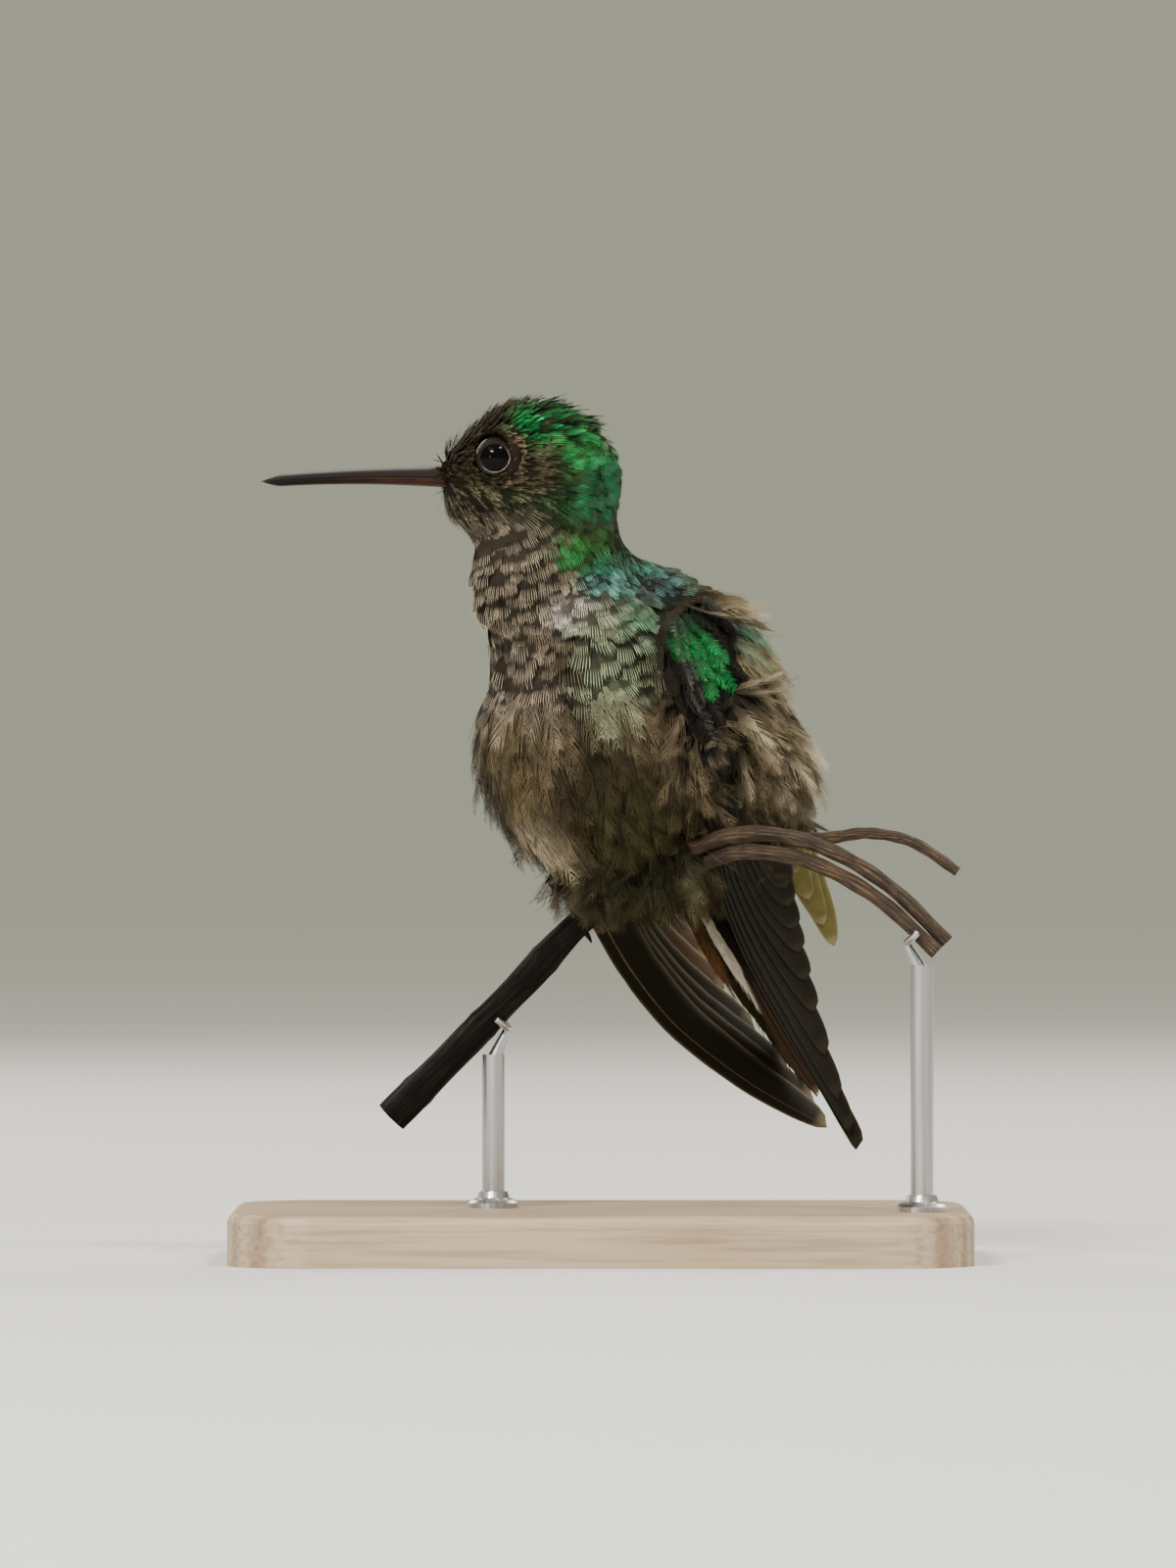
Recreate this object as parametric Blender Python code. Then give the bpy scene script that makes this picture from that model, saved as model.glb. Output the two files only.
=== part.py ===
"""A life-size still model of a small hummingbird with ruffled plumage.

It grips a cut length of vine, and a plain display stand holds the vine up.
Shapes are worked out in millimetres and scaled to metres as they are placed.
X runs to the bird's tail side, Y away from the side that is shown, Z up.
The origin is the middle of the underside of the stand's base.
"""

import math

import bmesh
import bpy
from mathutils import Matrix, Vector

MM = 0.001
GAP = 0.3  # clearance between neighbouring bodies
PARTING = 0.3  # width of the thin cuts that part the body

# The body's own frame: forward to the breast, left, and up along the spine.
BODY_CENTRE = Vector((2.0, 0.0, 52.0))
BODY_YAW = math.radians(42)  # turn of the breast from -X towards -Y
BODY_LEAN = math.radians(24)  # lean of the spine from upright, breast forward

# Feathered masses of the trunk: (forward, left, up) centre and half sizes.
BELLY = ((5.2, 0.0, -1.0), (11.8, 13.8, 14.4))
UPPER_BREAST = ((2.2, 0.0, 9.5), (9.5, 11.5, 8.5))
BACK = ((-6.2, 0.0, 1.5), (9.4, 12.5, 14.5))
RUMP = ((-4.5, 0.0, -13.0), (6.0, 7.0, 7.0))
SCAPULARS = ((-7.2, 8.0, 2.8), (6.8, 6.6, 10.0))
WING_FLUFF = ((-8.2, 9.0, -5.5), (6.2, 6.2, 10.0))

# The head and neck look straight along -X, so these are in world directions.
HEAD_MIDDLE_Y = -3.0
NECK = ((-5.0, HEAD_MIDDLE_Y, 69.3), (8.4, 7.6, 8.0))
CRANIUM = ((-6.0, HEAD_MIDDLE_Y, 76.4), (8.7, 6.4, 7.6))
FACE = ((-11.5, HEAD_MIDDLE_Y, 76.6), (4.8, 4.3, 4.3))
CHIN = ((-11.8, HEAD_MIDDLE_Y, 73.5), (4.1, 4.2, 4.2))
THROAT = ((-7.6, HEAD_MIDDLE_Y - 1.4, 65.2), (6.6, 6.6, 6.8))
CROWN_TUFT = ((-7.2, HEAD_MIDDLE_Y, 80.7), (4.6, 3.6, 3.8))

BODY_VOXEL = 0.9
BODY_SMOOTHING = 9
BODY_KEPT = 0.055  # share of the faces that stays after thinning

HEAD_CUT = ((-5.0, HEAD_MIDDLE_Y, 71.2), (-0.20, 0.0, 1.0))  # point, way up
NECK_CUT = ((-3.5, HEAD_MIDDLE_Y, 65.2), (-0.28, -0.22, 1.0))
VENT_CUT = ((8.0, 4.5, 40.0), (-0.38, -0.34, 0.86))

EYE_RADIUS = 2.1
EYE_PLACE = (-10.2, 3.75, 78.1)  # x, distance from the head's middle, z

BILL_ROOT = Vector((-14.6, HEAD_MIDDLE_Y, 76.2))
BILL_TIP = Vector((-33.1, HEAD_MIDDLE_Y, 75.8))
BILL_SAG = 0.25
BILL_ROOT_WIDTH = 2.5
BILL_ROOT_HEIGHT = 2.1
BILL_TIP_SIZE = 0.95  # before the point
BILL_TAPER = 1.6  # above 1, the bill thins quickly from its root
BILL_POINT_FROM = 0.90  # share of the length where the point begins
BILL_POINT_THINNING = 0.65
BILL_UPPER_PART = 0.56  # of the height
BILL_LOWER_LENGTH = 0.985
BILL_SLOT = 0.1  # between the upper and the lower half

# Folded wings: middle line in the body's frame, from shoulder to tip, as
# (forward, outward, up). The right wing's tip swings in behind the tail's side.
WING_LINES = {
    1: (
        (-2.4, 11.2, 11.5),
        (-2.4, 12.8, 0.0),
        (-4.2, 6.7, -17.8),
        (-4.9, 6.6, -33.0),
        (-7.6, 5.8, -49.1),
    ),
    -1: (
        (-2.4, 11.2, 11.5),
        (-2.6, 12.4, 0.0),
        (-2.2, 10.0, -16.0),
        (-4.8, 7.8, -32.0),
        (-10.4, 2.6, -48.4),
    ),
}
WING_HALF_WIDTHS = {
    1: (2.6, 5.2, 5.8, 5.8, 5.5, 4.9, 3.6, 1.9, 0.7),
    -1: (2.6, 5.2, 5.8, 5.8, 5.4, 5.2, 4.7, 3.4, 0.9),
}
WING_ARM_THICKNESS = 2.6
WING_TIP_THICKNESS = 0.6
WING_CAMBER = 0.9
WING_ARM_SHARE = 0.24  # of the length, covered by the arm's small feathers
WING_SPLIT = -3.6  # forward place, beside the shoulder, of the cut that parts off
WING_SPLIT_SLANT = 0.22  # the inner feathers, and its slant towards the rear edge
WING_STEP = 0.35  # depth of the steps between the primaries' tips

# Closed tail, in the body's frame.
TAIL_LINE = ((-5.0, 0.0, -18.0), (-6.0, 0.2, -31.0), (-9.4, 1.6, -44.0))
TAIL_HALF_WIDTHS = (2.6, 3.2, 3.6, 3.8, 3.8, 3.6, 2.4)
TAIL_THICKNESS = (2.2, 0.8)
TAIL_CAMBER = 0.8

# Vine: the path of its middle, from the cut left end to the cut right end.
VINE_PATH = (
    (-20.4, 1.5, 13.8),
    (-14.2, 0.9, 20.1),
    (-8.0, 0.2, 26.5),
    (-1.8, -0.8, 33.1),
    (3.6, -2.4, 36.9),
    (8.6, -6.0, 39.0),
    (13.0, -8.6, 40.6),
    (18.0, -9.8, 40.4),
    (23.0, -10.2, 38.6),
    (28.0, -10.4, 35.4),
    (33.0, -10.4, 30.6),
)
TWIG_RADIUS = 1.65
TWIG_TAPER = 0.55  # loss of radius over the whole path
TWIG_KNOTS = 0.06
VINE_RADIUS = 0.72
VINE_FROM = 0.52  # share of the path where the twig gives way to the vine
STRAND_OFFSET = 0.9  # from the vine's middle to each strand's middle
TENDRIL_PATH = (
    (22.2, -8.5, 41.5),
    (26.0, -8.4, 41.6),
    (30.3, -8.5, 40.7),
    (34.6, -8.6, 37.9),
)
TENDRIL_RADIUS = 0.5

# Feet: place along the vine's path, and the tarsus' upper end.
FEET = {
    "right": (0.31, (0.8, 0.6, 39.6)),
    "left": (0.385, (5.6, -3.6, 42.6)),
}
TARSUS_RADIUS = 0.62
TOE_RADIUS = 0.42
TOE_SPREADS = (-28, 0, 28)  # of the front toes along the perch, in degrees
TOE_REACH = 3.2  # length over which a toe spreads
FRONT_SWEEP, HIND_SWEEP = -150, 110  # how far the toes go round the perch
CLAW_SHARE = 0.3
CLAW_THINNING = 0.42
TOE_REST = 0.1  # extra room between the toes and the perch
LEG_VOXEL = 0.16
LEG_KEPT = 0.045  # share of the faces that stays after thinning

BASE_SIZE = (72.0, 48.0, 5.0)
BASE_CORNER = 8.0
BASE_EDGE = 0.8
ROD_RADIUS = 1.1
ROD_SHARES = {"left": 0.16, "right": 0.955}  # places along the vine's path


def body_matrix():
    """Body frame to world, in millimetres."""
    level = Vector((-math.cos(BODY_YAW), -math.sin(BODY_YAW), 0.0))
    left = Vector((math.sin(BODY_YAW), -math.cos(BODY_YAW), 0.0))
    up = Vector((0, 0, 1)) * math.cos(BODY_LEAN) + level * math.sin(BODY_LEAN)
    forward = left.cross(up)
    axes = Matrix((forward, left, up)).transposed()
    return Matrix.Translation(BODY_CENTRE) @ axes.to_4x4()


BODY = body_matrix()


def clear_scene():
    for old in list(bpy.data.objects):
        bpy.data.objects.remove(old)


def material(name, colour, roughness, metallic=0.0):
    made = bpy.data.materials.new(name)
    made.use_nodes = True
    shader = made.node_tree.nodes["Principled BSDF"]
    shader.inputs["Base Color"].default_value = (*colour, 1.0)
    shader.inputs["Roughness"].default_value = roughness
    shader.inputs["Metallic"].default_value = metallic
    return made


def add_object(name, mesh):
    made = bpy.data.objects.new(name, mesh)
    bpy.context.scene.collection.objects.link(made)
    return made


def evaluated(obj):
    """The mesh that an object's modifiers make. The object goes."""
    graph = bpy.context.evaluated_depsgraph_get()
    mesh = bpy.data.meshes.new_from_object(obj.evaluated_get(graph))
    bpy.data.objects.remove(obj)
    return mesh


def place(name, mesh, look, smooth=True):
    """Scales a millimetre mesh to metres and makes it a sub-part."""
    mesh.transform(Matrix.Scale(MM, 4))
    mesh.materials.clear()
    mesh.materials.append(look)
    for face in mesh.polygons:
        face.use_smooth = smooth
    return add_object(name, mesh)


def mesh_of(shape, name="shape"):
    """A bmesh as a mesh, with its faces turned outwards."""
    bmesh.ops.recalc_face_normals(shape, faces=shape.faces)
    mesh = bpy.data.meshes.new(name)
    shape.to_mesh(mesh)
    shape.free()
    return mesh


def loft(rings):
    """A closed skin over rings of points, with each end fanned to its middle."""
    shape = bmesh.new()
    rows = [[shape.verts.new(p) for p in ring] for ring in rings]
    count = len(rows[0])
    for one, two in zip(rows, rows[1:]):
        for i in range(count):
            j = (i + 1) % count
            shape.faces.new((one[i], one[j], two[j], two[i]))
    for row in (rows[0], rows[-1]):
        middle = sum((v.co for v in row), Vector()) / count
        tip = shape.verts.new(middle)
        for i in range(count):
            shape.faces.new((row[i], row[(i + 1) % count], tip))
    bmesh.ops.triangulate(shape, faces=shape.faces)
    return mesh_of(shape)


def bezier(points, share):
    """Point of a Bezier curve through its ends, at share 0 to 1."""
    held = [Vector(p) for p in points]
    while len(held) > 1:
        held = [a.lerp(b, share) for a, b in zip(held, held[1:])]
    return held[0]


def along(points, share):
    """Point of a smooth curve through every given point, at share 0 to 1."""
    held = [Vector(p) for p in points]
    place_at = min(max(share, 0.0), 1.0) * (len(held) - 1)
    i = min(int(place_at), len(held) - 2)
    t = place_at - i
    before = held[max(i - 1, 0)]
    after = held[min(i + 2, len(held) - 1)]
    a, b = held[i], held[i + 1]
    start, end = (b - before) / 2, (after - a) / 2
    bend_a = a * (2 * t**3 - 3 * t**2 + 1) + start * (t**3 - 2 * t**2 + t)
    bend_b = b * (3 * t**2 - 2 * t**3) + end * (t**3 - t**2)
    return bend_a + bend_b


def table(values, share):
    """Straight-line reading of evenly spaced values, at share 0 to 1."""
    place_at = min(max(share, 0.0), 1.0) * (len(values) - 1)
    i = min(int(place_at), len(values) - 2)
    return values[i] + (values[i + 1] - values[i]) * (place_at - i)


def tube(path, radius, stations, sides=10, start=0.0, end=1.0):
    """A round bar along path(share); radius(share) is its radius."""
    shares = [start + (end - start) * i / stations for i in range(stations + 1)]
    points = [path(s) for s in shares]
    side = Vector((0.05, 1.0, 0.1))
    rings = []
    for i, (share, centre) in enumerate(zip(shares, points)):
        way = points[min(i + 1, stations)] - points[max(i - 1, 0)]
        way.normalize()
        side = (side - way * side.dot(way)).normalized()
        other = way.cross(side)
        size = radius(share)
        angles = (math.tau * k / sides for k in range(sides))
        turned = (side * math.cos(a) + other * math.sin(a) for a in angles)
        rings.append([centre + t * size for t in turned])
    return loft(rings)


def blade(line, chord, half_width, thickness, camber, stations=26, sides=10):
    """A lens-shaped plate along line(share), wide along chord(share)."""
    rings = []
    for i in range(stations + 1):
        share = i / stations
        centre = line(share)
        way = line(min(share + 0.01, 1.0)) - line(max(share - 0.01, 0.0))
        across = chord(share)
        across = (across - way * across.dot(way) / way.length_squared).normalized()
        flat = way.cross(across).normalized()
        wide, thick = half_width(share), thickness(share)
        ring = []
        for k in range(sides):
            angle = math.tau * k / sides
            bow = camber * (1 - math.cos(angle) ** 2)
            rise = flat * (thick / 2 * math.sin(angle) + bow)
            ring.append(centre + across * wide * math.cos(angle) + rise)
        rings.append(ring)
    return loft(rings)


def ellipsoid(shape, centre, halves, frame):
    bmesh.ops.create_icosphere(
        shape,
        subdivisions=4,
        radius=1.0,
        matrix=frame @ Matrix.Translation(centre) @ Matrix.Diagonal((*halves, 1.0)),
    )


def body_whole():
    """Trunk, neck and head as one smooth closed body."""
    shape = bmesh.new()
    for centre, halves in (BELLY, UPPER_BREAST, BACK, RUMP):
        ellipsoid(shape, centre, halves, BODY)
    for centre, halves in (SCAPULARS, WING_FLUFF):
        for side in (1, -1):
            placed = (centre[0], side * centre[1], centre[2])
            ellipsoid(shape, placed, halves, BODY)
    for centre, halves in (NECK, THROAT, CRANIUM, FACE, CHIN, CROWN_TUFT):
        ellipsoid(shape, centre, halves, Matrix.Identity(4))
    whole = add_object("body_whole", mesh_of(shape))
    remesh = whole.modifiers.new("one_skin", "REMESH")
    remesh.mode = "VOXEL"
    remesh.voxel_size = BODY_VOXEL
    smooth = whole.modifiers.new("soften", "SMOOTH")
    smooth.factor = 0.5
    smooth.iterations = BODY_SMOOTHING
    thin = whole.modifiers.new("thin_out", "DECIMATE")
    thin.ratio = BODY_KEPT
    return evaluated(whole)


def kept_side(mesh, point, way, clear=PARTING / 2):
    """The part of a copied mesh that lies past a plane, closed along the cut."""
    shape = bmesh.new()
    shape.from_mesh(mesh)
    normal = Vector(way).normalized()
    cut = bmesh.ops.bisect_plane(
        shape,
        geom=[*shape.verts, *shape.edges, *shape.faces],
        dist=1e-5,
        plane_co=Vector(point) + normal * clear,
        plane_no=normal,
        clear_inner=True,
    )
    rim = [e for e in cut["geom_cut"] if isinstance(e, bmesh.types.BMEdge)]
    bmesh.ops.triangle_fill(shape, edges=rim, use_beauty=True)
    return largest_body(mesh_of(shape))


def opposite(way):
    return -Vector(way)


def cleared(mesh, cutters):
    """The mesh less each cutter mesh."""
    base = add_object("base", mesh)
    tools = [add_object("cutter", cutter) for cutter in cutters]
    for tool in tools:
        cut = base.modifiers.new("cut", "BOOLEAN")
        cut.operation = "DIFFERENCE"
        cut.solver = "EXACT"
        cut.object = tool
    made = evaluated(base)
    for tool in tools:
        bpy.data.objects.remove(tool)
    return largest_body(made)


def largest_body(mesh):
    """Drops the loose crumbs that a cut leaves, and welds doubled corners."""
    shape = bmesh.new()
    shape.from_mesh(mesh)
    bmesh.ops.remove_doubles(shape, verts=shape.verts, dist=0.01)
    bmesh.ops.dissolve_degenerate(shape, edges=shape.edges, dist=0.01)
    bmesh.ops.triangulate(shape, faces=shape.faces)
    groups = []
    seen = set()
    for face in shape.faces:
        if face in seen:
            continue
        group, edge_of_group = set(), [face]
        while edge_of_group:
            one = edge_of_group.pop()
            if one in group:
                continue
            group.add(one)
            for edge in one.edges:
                if len(edge.link_faces) == 2:
                    edge_of_group.extend(edge.link_faces)
        seen |= group
        groups.append(group)
    keep = max(groups, key=lambda g: sum(f.calc_area() for f in g))
    crumbs = [f for f in shape.faces if f not in keep]
    bmesh.ops.delete(shape, geom=crumbs, context="FACES")
    return mesh_of(shape)


def wing_mesh(side, grow=0.0):
    """The folded wing in one piece; side is 1 for left and -1 for right."""

    def line(share):
        f, left, up = along(WING_LINES[side], share)
        return BODY @ Vector((f, side * left, up))

    def chord(share):
        return BODY.to_3x3() @ Vector((1.0, side * 0.25 * (1 - share), 0.0))

    def half_width(share):
        wide = table(WING_HALF_WIDTHS[side], share)
        steps = WING_STEP * math.sin(share * 16 * math.pi) if share > 0.6 else 0.0
        return max(wide + steps, 0.6) + grow

    def thickness(share):
        root = WING_ARM_THICKNESS * max(0.0, 1 - (share / 0.45) ** 2)
        return max(WING_TIP_THICKNESS + 0.6 * (1 - share), root) + 2 * grow

    return blade(line, chord, half_width, thickness, side * WING_CAMBER)


def tail_mesh(grow=0.0):
    def line(share):
        return BODY @ bezier(TAIL_LINE, share)

    def chord(_share):
        return BODY.to_3x3() @ Vector((0.0, 1.0, 0.0))

    def half_width(share):
        return table(TAIL_HALF_WIDTHS, share) + grow

    def thickness(share):
        return table(TAIL_THICKNESS, share) + 2 * grow

    return blade(line, chord, half_width, thickness, -TAIL_CAMBER, stations=18)


def vine_point(share):
    return along(VINE_PATH, share)


def twig_radius(share, grow=0.0):
    """Thick at the cut left end, thinner under the bird."""
    knots = TWIG_KNOTS * math.sin(share * 60)
    return TWIG_RADIUS * (1 - TWIG_TAPER * share) + knots + grow


def twig_mesh(grow=0.0):
    return tube(
        vine_point, lambda s: twig_radius(s, grow), 22, 10, 0.0, VINE_FROM - 0.02
    )


def strand_mesh(turn, grow=0.0):
    """One of the vine's two strands; they twist slowly round each other."""

    def path(share):
        angle = math.radians(70) + turn + (share - VINE_FROM) * 2.2
        way = (vine_point(share + 0.01) - vine_point(share - 0.01)).normalized()
        side = (Vector((0, 1, 0)) - way * way.y).normalized()
        off = side * math.cos(angle) - way.cross(side) * math.sin(angle)
        return vine_point(share) - off * STRAND_OFFSET

    return tube(path, lambda _s: VINE_RADIUS + grow, 20, 8, VINE_FROM, 1.0)


def tendril_mesh(grow=0.0):
    def radius(share):
        return TENDRIL_RADIUS * (1.1 - 0.2 * share) + grow

    return tube(lambda s: along(TENDRIL_PATH, s), radius, 12, 8)


def toe_path(centre, way, outward, ring, sweep, share):
    """A toe's arc round the perch, from its top over one side."""
    top = (Vector((0, 0, 1)) - way * way.z).normalized()
    angle = math.radians(sweep) * share
    drift = way * outward * math.sin(min(share * 2.2, math.pi / 2))
    side = way.cross(top) * ring * math.sin(angle)
    return centre + top * ring * math.cos(angle) + drift + side


def tarsus_mesh(side_name, grow=0.0):
    share, top = FEET[side_name]
    way = (vine_point(share + 0.01) - vine_point(share - 0.01)).normalized()
    up = (Vector((0, 0, 1)) - way * way.z).normalized()
    foot = vine_point(share) + up * (TWIG_RADIUS + GAP + TOE_RADIUS + TOE_REST)
    line = (foot, foot.lerp(Vector(top), 0.5) + Vector((0.5, 0.3, 0)), top)
    return tube(
        lambda s: bezier(line, s),
        lambda s: TARSUS_RADIUS * (1.0 + 0.35 * s) + grow,
        8,
        8,
    )


def leg_mesh(side_name):
    """Tarsus, three front toes and the hind toe with their claws."""
    share, _top = FEET[side_name]
    centre = vine_point(share)
    way = (vine_point(share + 0.01) - vine_point(share - 0.01)).normalized()
    ring = TWIG_RADIUS + TOE_REST + GAP + TOE_RADIUS
    shape = bmesh.new()
    shape.from_mesh(tarsus_mesh(side_name))
    toes = [(spread, FRONT_SWEEP) for spread in TOE_SPREADS] + [(0, HIND_SWEEP)]
    for spread, sweep in toes:
        outward = math.tan(math.radians(spread)) * TOE_REACH

        def path(s, outward=outward, sweep=sweep):
            return toe_path(centre, way, outward, ring, sweep, s)

        def radius(s):
            taper = max(0.0, (s - 1 + CLAW_SHARE) / CLAW_SHARE)
            return TOE_RADIUS * (1 - CLAW_THINNING * taper)

        shape.from_mesh(tube(path, radius, 12, 8))
    joined = add_object("leg", mesh_of(shape))
    remesh = joined.modifiers.new("one_skin", "REMESH")
    remesh.mode = "VOXEL"
    remesh.voxel_size = LEG_VOXEL
    thin = joined.modifiers.new("thin_out", "DECIMATE")
    thin.ratio = LEG_KEPT
    return evaluated(joined)


def foot_room(side_name):
    """The space that a foot takes up round the perch."""
    share, _top = FEET[side_name]
    radius = TWIG_RADIUS + 2 * TOE_RADIUS + 2 * GAP + 0.15
    return tube(vine_point, lambda _s: radius, 4, 12, share - 0.032, share + 0.032)


def ball(centre, radius, rings=10):
    shape = bmesh.new()
    bmesh.ops.create_uvsphere(
        shape,
        u_segments=rings + 4,
        v_segments=rings,
        radius=radius,
        matrix=Matrix.Translation(centre),
    )
    bmesh.ops.triangulate(shape, faces=shape.faces)
    return mesh_of(shape)


def eye_centre(side):
    """side is -1 for the left eye, on the side that is shown."""
    x, away, z = EYE_PLACE
    return Vector((x, HEAD_MIDDLE_Y + side * away, z))


def bill_half(upper, grow=0.0):
    """Half a bill: flat on the slot, round on the outside, tapering."""
    rings = []
    sides = 10
    stations = 12
    sign, deep, length = 1, BILL_UPPER_PART, 1.0
    if not upper:
        sign, deep, length = -1, 1 - BILL_UPPER_PART, BILL_LOWER_LENGTH
    for i in range(stations + 1):
        share = i / stations * length
        centre = BILL_ROOT.lerp(BILL_TIP, share)
        centre.z += BILL_SAG * math.sin(share * math.pi)
        taper = (1 - share) ** BILL_TAPER
        wide = BILL_TIP_SIZE + (BILL_ROOT_WIDTH - BILL_TIP_SIZE) * taper
        high = BILL_TIP_SIZE + (BILL_ROOT_HEIGHT - BILL_TIP_SIZE) * taper
        past = max(0.0, share - BILL_POINT_FROM) / (1 - BILL_POINT_FROM)
        point = 1 - BILL_POINT_THINNING * past
        ring = []
        for k in range(sides + 1):
            angle = math.pi * k / sides
            y = math.cos(angle) * (wide / 2 * point + grow)
            z = math.sin(angle) * (high * deep * point + grow)
            ring.append(centre + Vector((0, y, sign * (z + BILL_SLOT / 2 - grow / 2))))
        rings.append(ring)
    return loft(rings)


def stand_base_mesh():
    width, depth, height = BASE_SIZE
    shape = bmesh.new()
    bmesh.ops.create_cube(
        shape,
        size=1.0,
        matrix=Matrix.Translation((0, 0, height / 2))
        @ Matrix.Diagonal((width, depth, height, 1.0)),
    )
    upright = [e for e in shape.edges if abs(e.verts[0].co.z - e.verts[1].co.z) > 1]
    rounding = {"profile": 0.5, "affect": "EDGES"}
    bmesh.ops.bevel(shape, geom=upright, offset=BASE_CORNER, segments=6, **rounding)
    top = [e for e in shape.edges if all(v.co.z > height - 0.01 for v in e.verts)]
    bmesh.ops.bevel(shape, geom=top, offset=BASE_EDGE, segments=2, **rounding)
    return mesh_of(shape)


def rod_mesh(share):
    """A rod up to just under the vine, which slopes over it."""
    foot = vine_point(share)
    reach = TWIG_RADIUS + 0.1 if share < VINE_FROM else VINE_RADIUS + STRAND_OFFSET
    way = vine_point(share + 0.01) - vine_point(share - 0.01)
    slope = abs(way.z) / math.hypot(way.x, way.y)
    head = foot.z - reach * math.hypot(1, slope) - ROD_RADIUS * slope - GAP
    shape = bmesh.new()
    base_top = BASE_SIZE[2]
    bmesh.ops.create_cone(
        shape,
        cap_ends=True,
        segments=20,
        radius1=ROD_RADIUS,
        radius2=ROD_RADIUS,
        depth=head - base_top,
        matrix=Matrix.Translation((foot.x, foot.y, (head + base_top) / 2)),
    )
    return mesh_of(shape)


def build_body(looks, outer):
    """Head, neck, trunk and vent, parted by thin cuts and cleared of the rest."""
    whole = body_whole()
    head_at, head_up = HEAD_CUT
    neck_at, neck_up = NECK_CUT
    vent_at, vent_up = VENT_CUT
    head = kept_side(whole, head_at, head_up)
    sockets = [ball(eye_centre(s), EYE_RADIUS + GAP) for s in (-1, 1)]
    bill = [bill_half(upper, GAP) for upper in (True, False)]
    place("head", cleared(head, sockets + bill), looks["green"])
    below_head = kept_side(whole, head_at, opposite(head_up))
    place("neck", kept_side(below_head, neck_at, neck_up), looks["grey"])
    below_neck = kept_side(whole, neck_at, opposite(neck_up))
    trunk = kept_side(below_neck, vent_at, vent_up)
    place("trunk", cleared(trunk, [m.copy() for m in outer]), looks["grey"])
    vent = kept_side(whole, vent_at, opposite(vent_up))
    place("vent", cleared(vent, [m.copy() for m in outer]), looks["grey"])


def build_wing(name, side, looks, outer):
    """One folded wing, parted into the arm, the inner and the outer feathers."""
    whole = cleared(wing_mesh(side), [m.copy() for m in outer])
    reach = along(WING_LINES[side], WING_ARM_SHARE)
    arm_at = BODY @ Vector((reach.x, side * reach.y, reach.z))
    to_arm = BODY.to_3x3() @ Vector((0.25, 0.0, 1.0))
    place(f"{name}_arm", kept_side(whole, arm_at, to_arm), looks["green"])
    below = kept_side(whole, arm_at, opposite(to_arm))
    split_at = BODY @ Vector((WING_SPLIT, side * reach.y, reach.z))
    to_rear = BODY.to_3x3() @ Vector((-1.0, 0.0, WING_SPLIT_SLANT))
    rear = kept_side(below, split_at, to_rear)
    front = kept_side(below, split_at, opposite(to_rear))
    place(f"{name}_secondaries", rear, looks["dusky"])
    place(f"{name}_primaries", front, looks["dusky"])


def build_tail(looks, outer):
    whole = cleared(tail_mesh(), [m.copy() for m in outer])
    middle = BODY @ Vector((0, 0, 0))
    for name, side in (("left", 1), ("right", -1)):
        outwards = BODY.to_3x3() @ Vector((0, side, 0))
        place(f"tail_{name}", kept_side(whole, middle, outwards), looks["dusky"])


def build():
    clear_scene()
    looks = {
        "green": material("emerald_plumage", (0.02, 0.25, 0.12), 0.4, 0.35),
        "grey": material("grey_plumage", (0.35, 0.31, 0.26), 0.85),
        "dusky": material("dusky_plumage", (0.05, 0.04, 0.03), 0.6),
        "bill": material("bill_horn", (0.05, 0.035, 0.03), 0.4),
        "bill_lower": material("bill_horn_reddish", (0.22, 0.08, 0.04), 0.4),
        "eye": material("eye_black", (0.01, 0.008, 0.006), 0.05),
        "leg": material("leg_skin", (0.04, 0.03, 0.03), 0.6),
        "twig": material("dark_twig_bark", (0.02, 0.015, 0.01), 0.8),
        "vine": material("tan_vine_bark", (0.30, 0.20, 0.13), 0.75),
        "base": material("stand_wood", (0.45, 0.36, 0.27), 0.5),
        "rod": material("stand_steel", (0.6, 0.6, 0.6), 0.3, 1.0),
    }
    perch = [twig_mesh(GAP), strand_mesh(0.0, GAP), strand_mesh(math.pi, GAP)]
    tarsi = [tarsus_mesh(side, GAP) for side in FEET]
    feet = [foot_room(side) for side in FEET]
    wings = [wing_mesh(side, GAP) for side in (1, -1)]
    tail = tail_mesh(GAP)
    build_body(looks, perch + tarsi + feet + wings + [tail])
    build_wing("wing_left", 1, looks, perch + feet)
    build_wing("wing_right", -1, looks, perch + feet)
    build_tail(looks, perch)
    for side, name in ((-1, "left"), (1, "right")):
        place(f"eye_{name}", ball(eye_centre(side), EYE_RADIUS), looks["eye"])
    place("bill_upper", bill_half(True), looks["bill"])
    place("bill_lower", bill_half(False), looks["bill_lower"])
    for side in FEET:
        place(f"leg_{side}", leg_mesh(side), looks["leg"])
    place("perch_twig", twig_mesh(), looks["twig"])
    place("perch_vine_upper", strand_mesh(0.0), looks["vine"])
    place("perch_vine_lower", strand_mesh(math.pi), looks["vine"])
    place("perch_tendril", tendril_mesh(), looks["vine"])
    place("stand_base", stand_base_mesh(), looks["base"], smooth=False)
    for side, share in ROD_SHARES.items():
        place(f"stand_rod_{side}", rod_mesh(share), looks["rod"])


build()
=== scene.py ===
"""Looks of a still, life-size hummingbird that grips a cut vine on a stand.

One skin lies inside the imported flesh, and meshed feathers grow from it along
the lie of the coat. Lengths here are millimetres in the frame's own axes, and
each mesh is scaled to metres as it is made. Colours are linear.
"""

import itertools
import math
from functools import partial

import bmesh
import bpy
import numpy as np
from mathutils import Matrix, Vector
from mathutils.bvhtree import BVHTree


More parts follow.
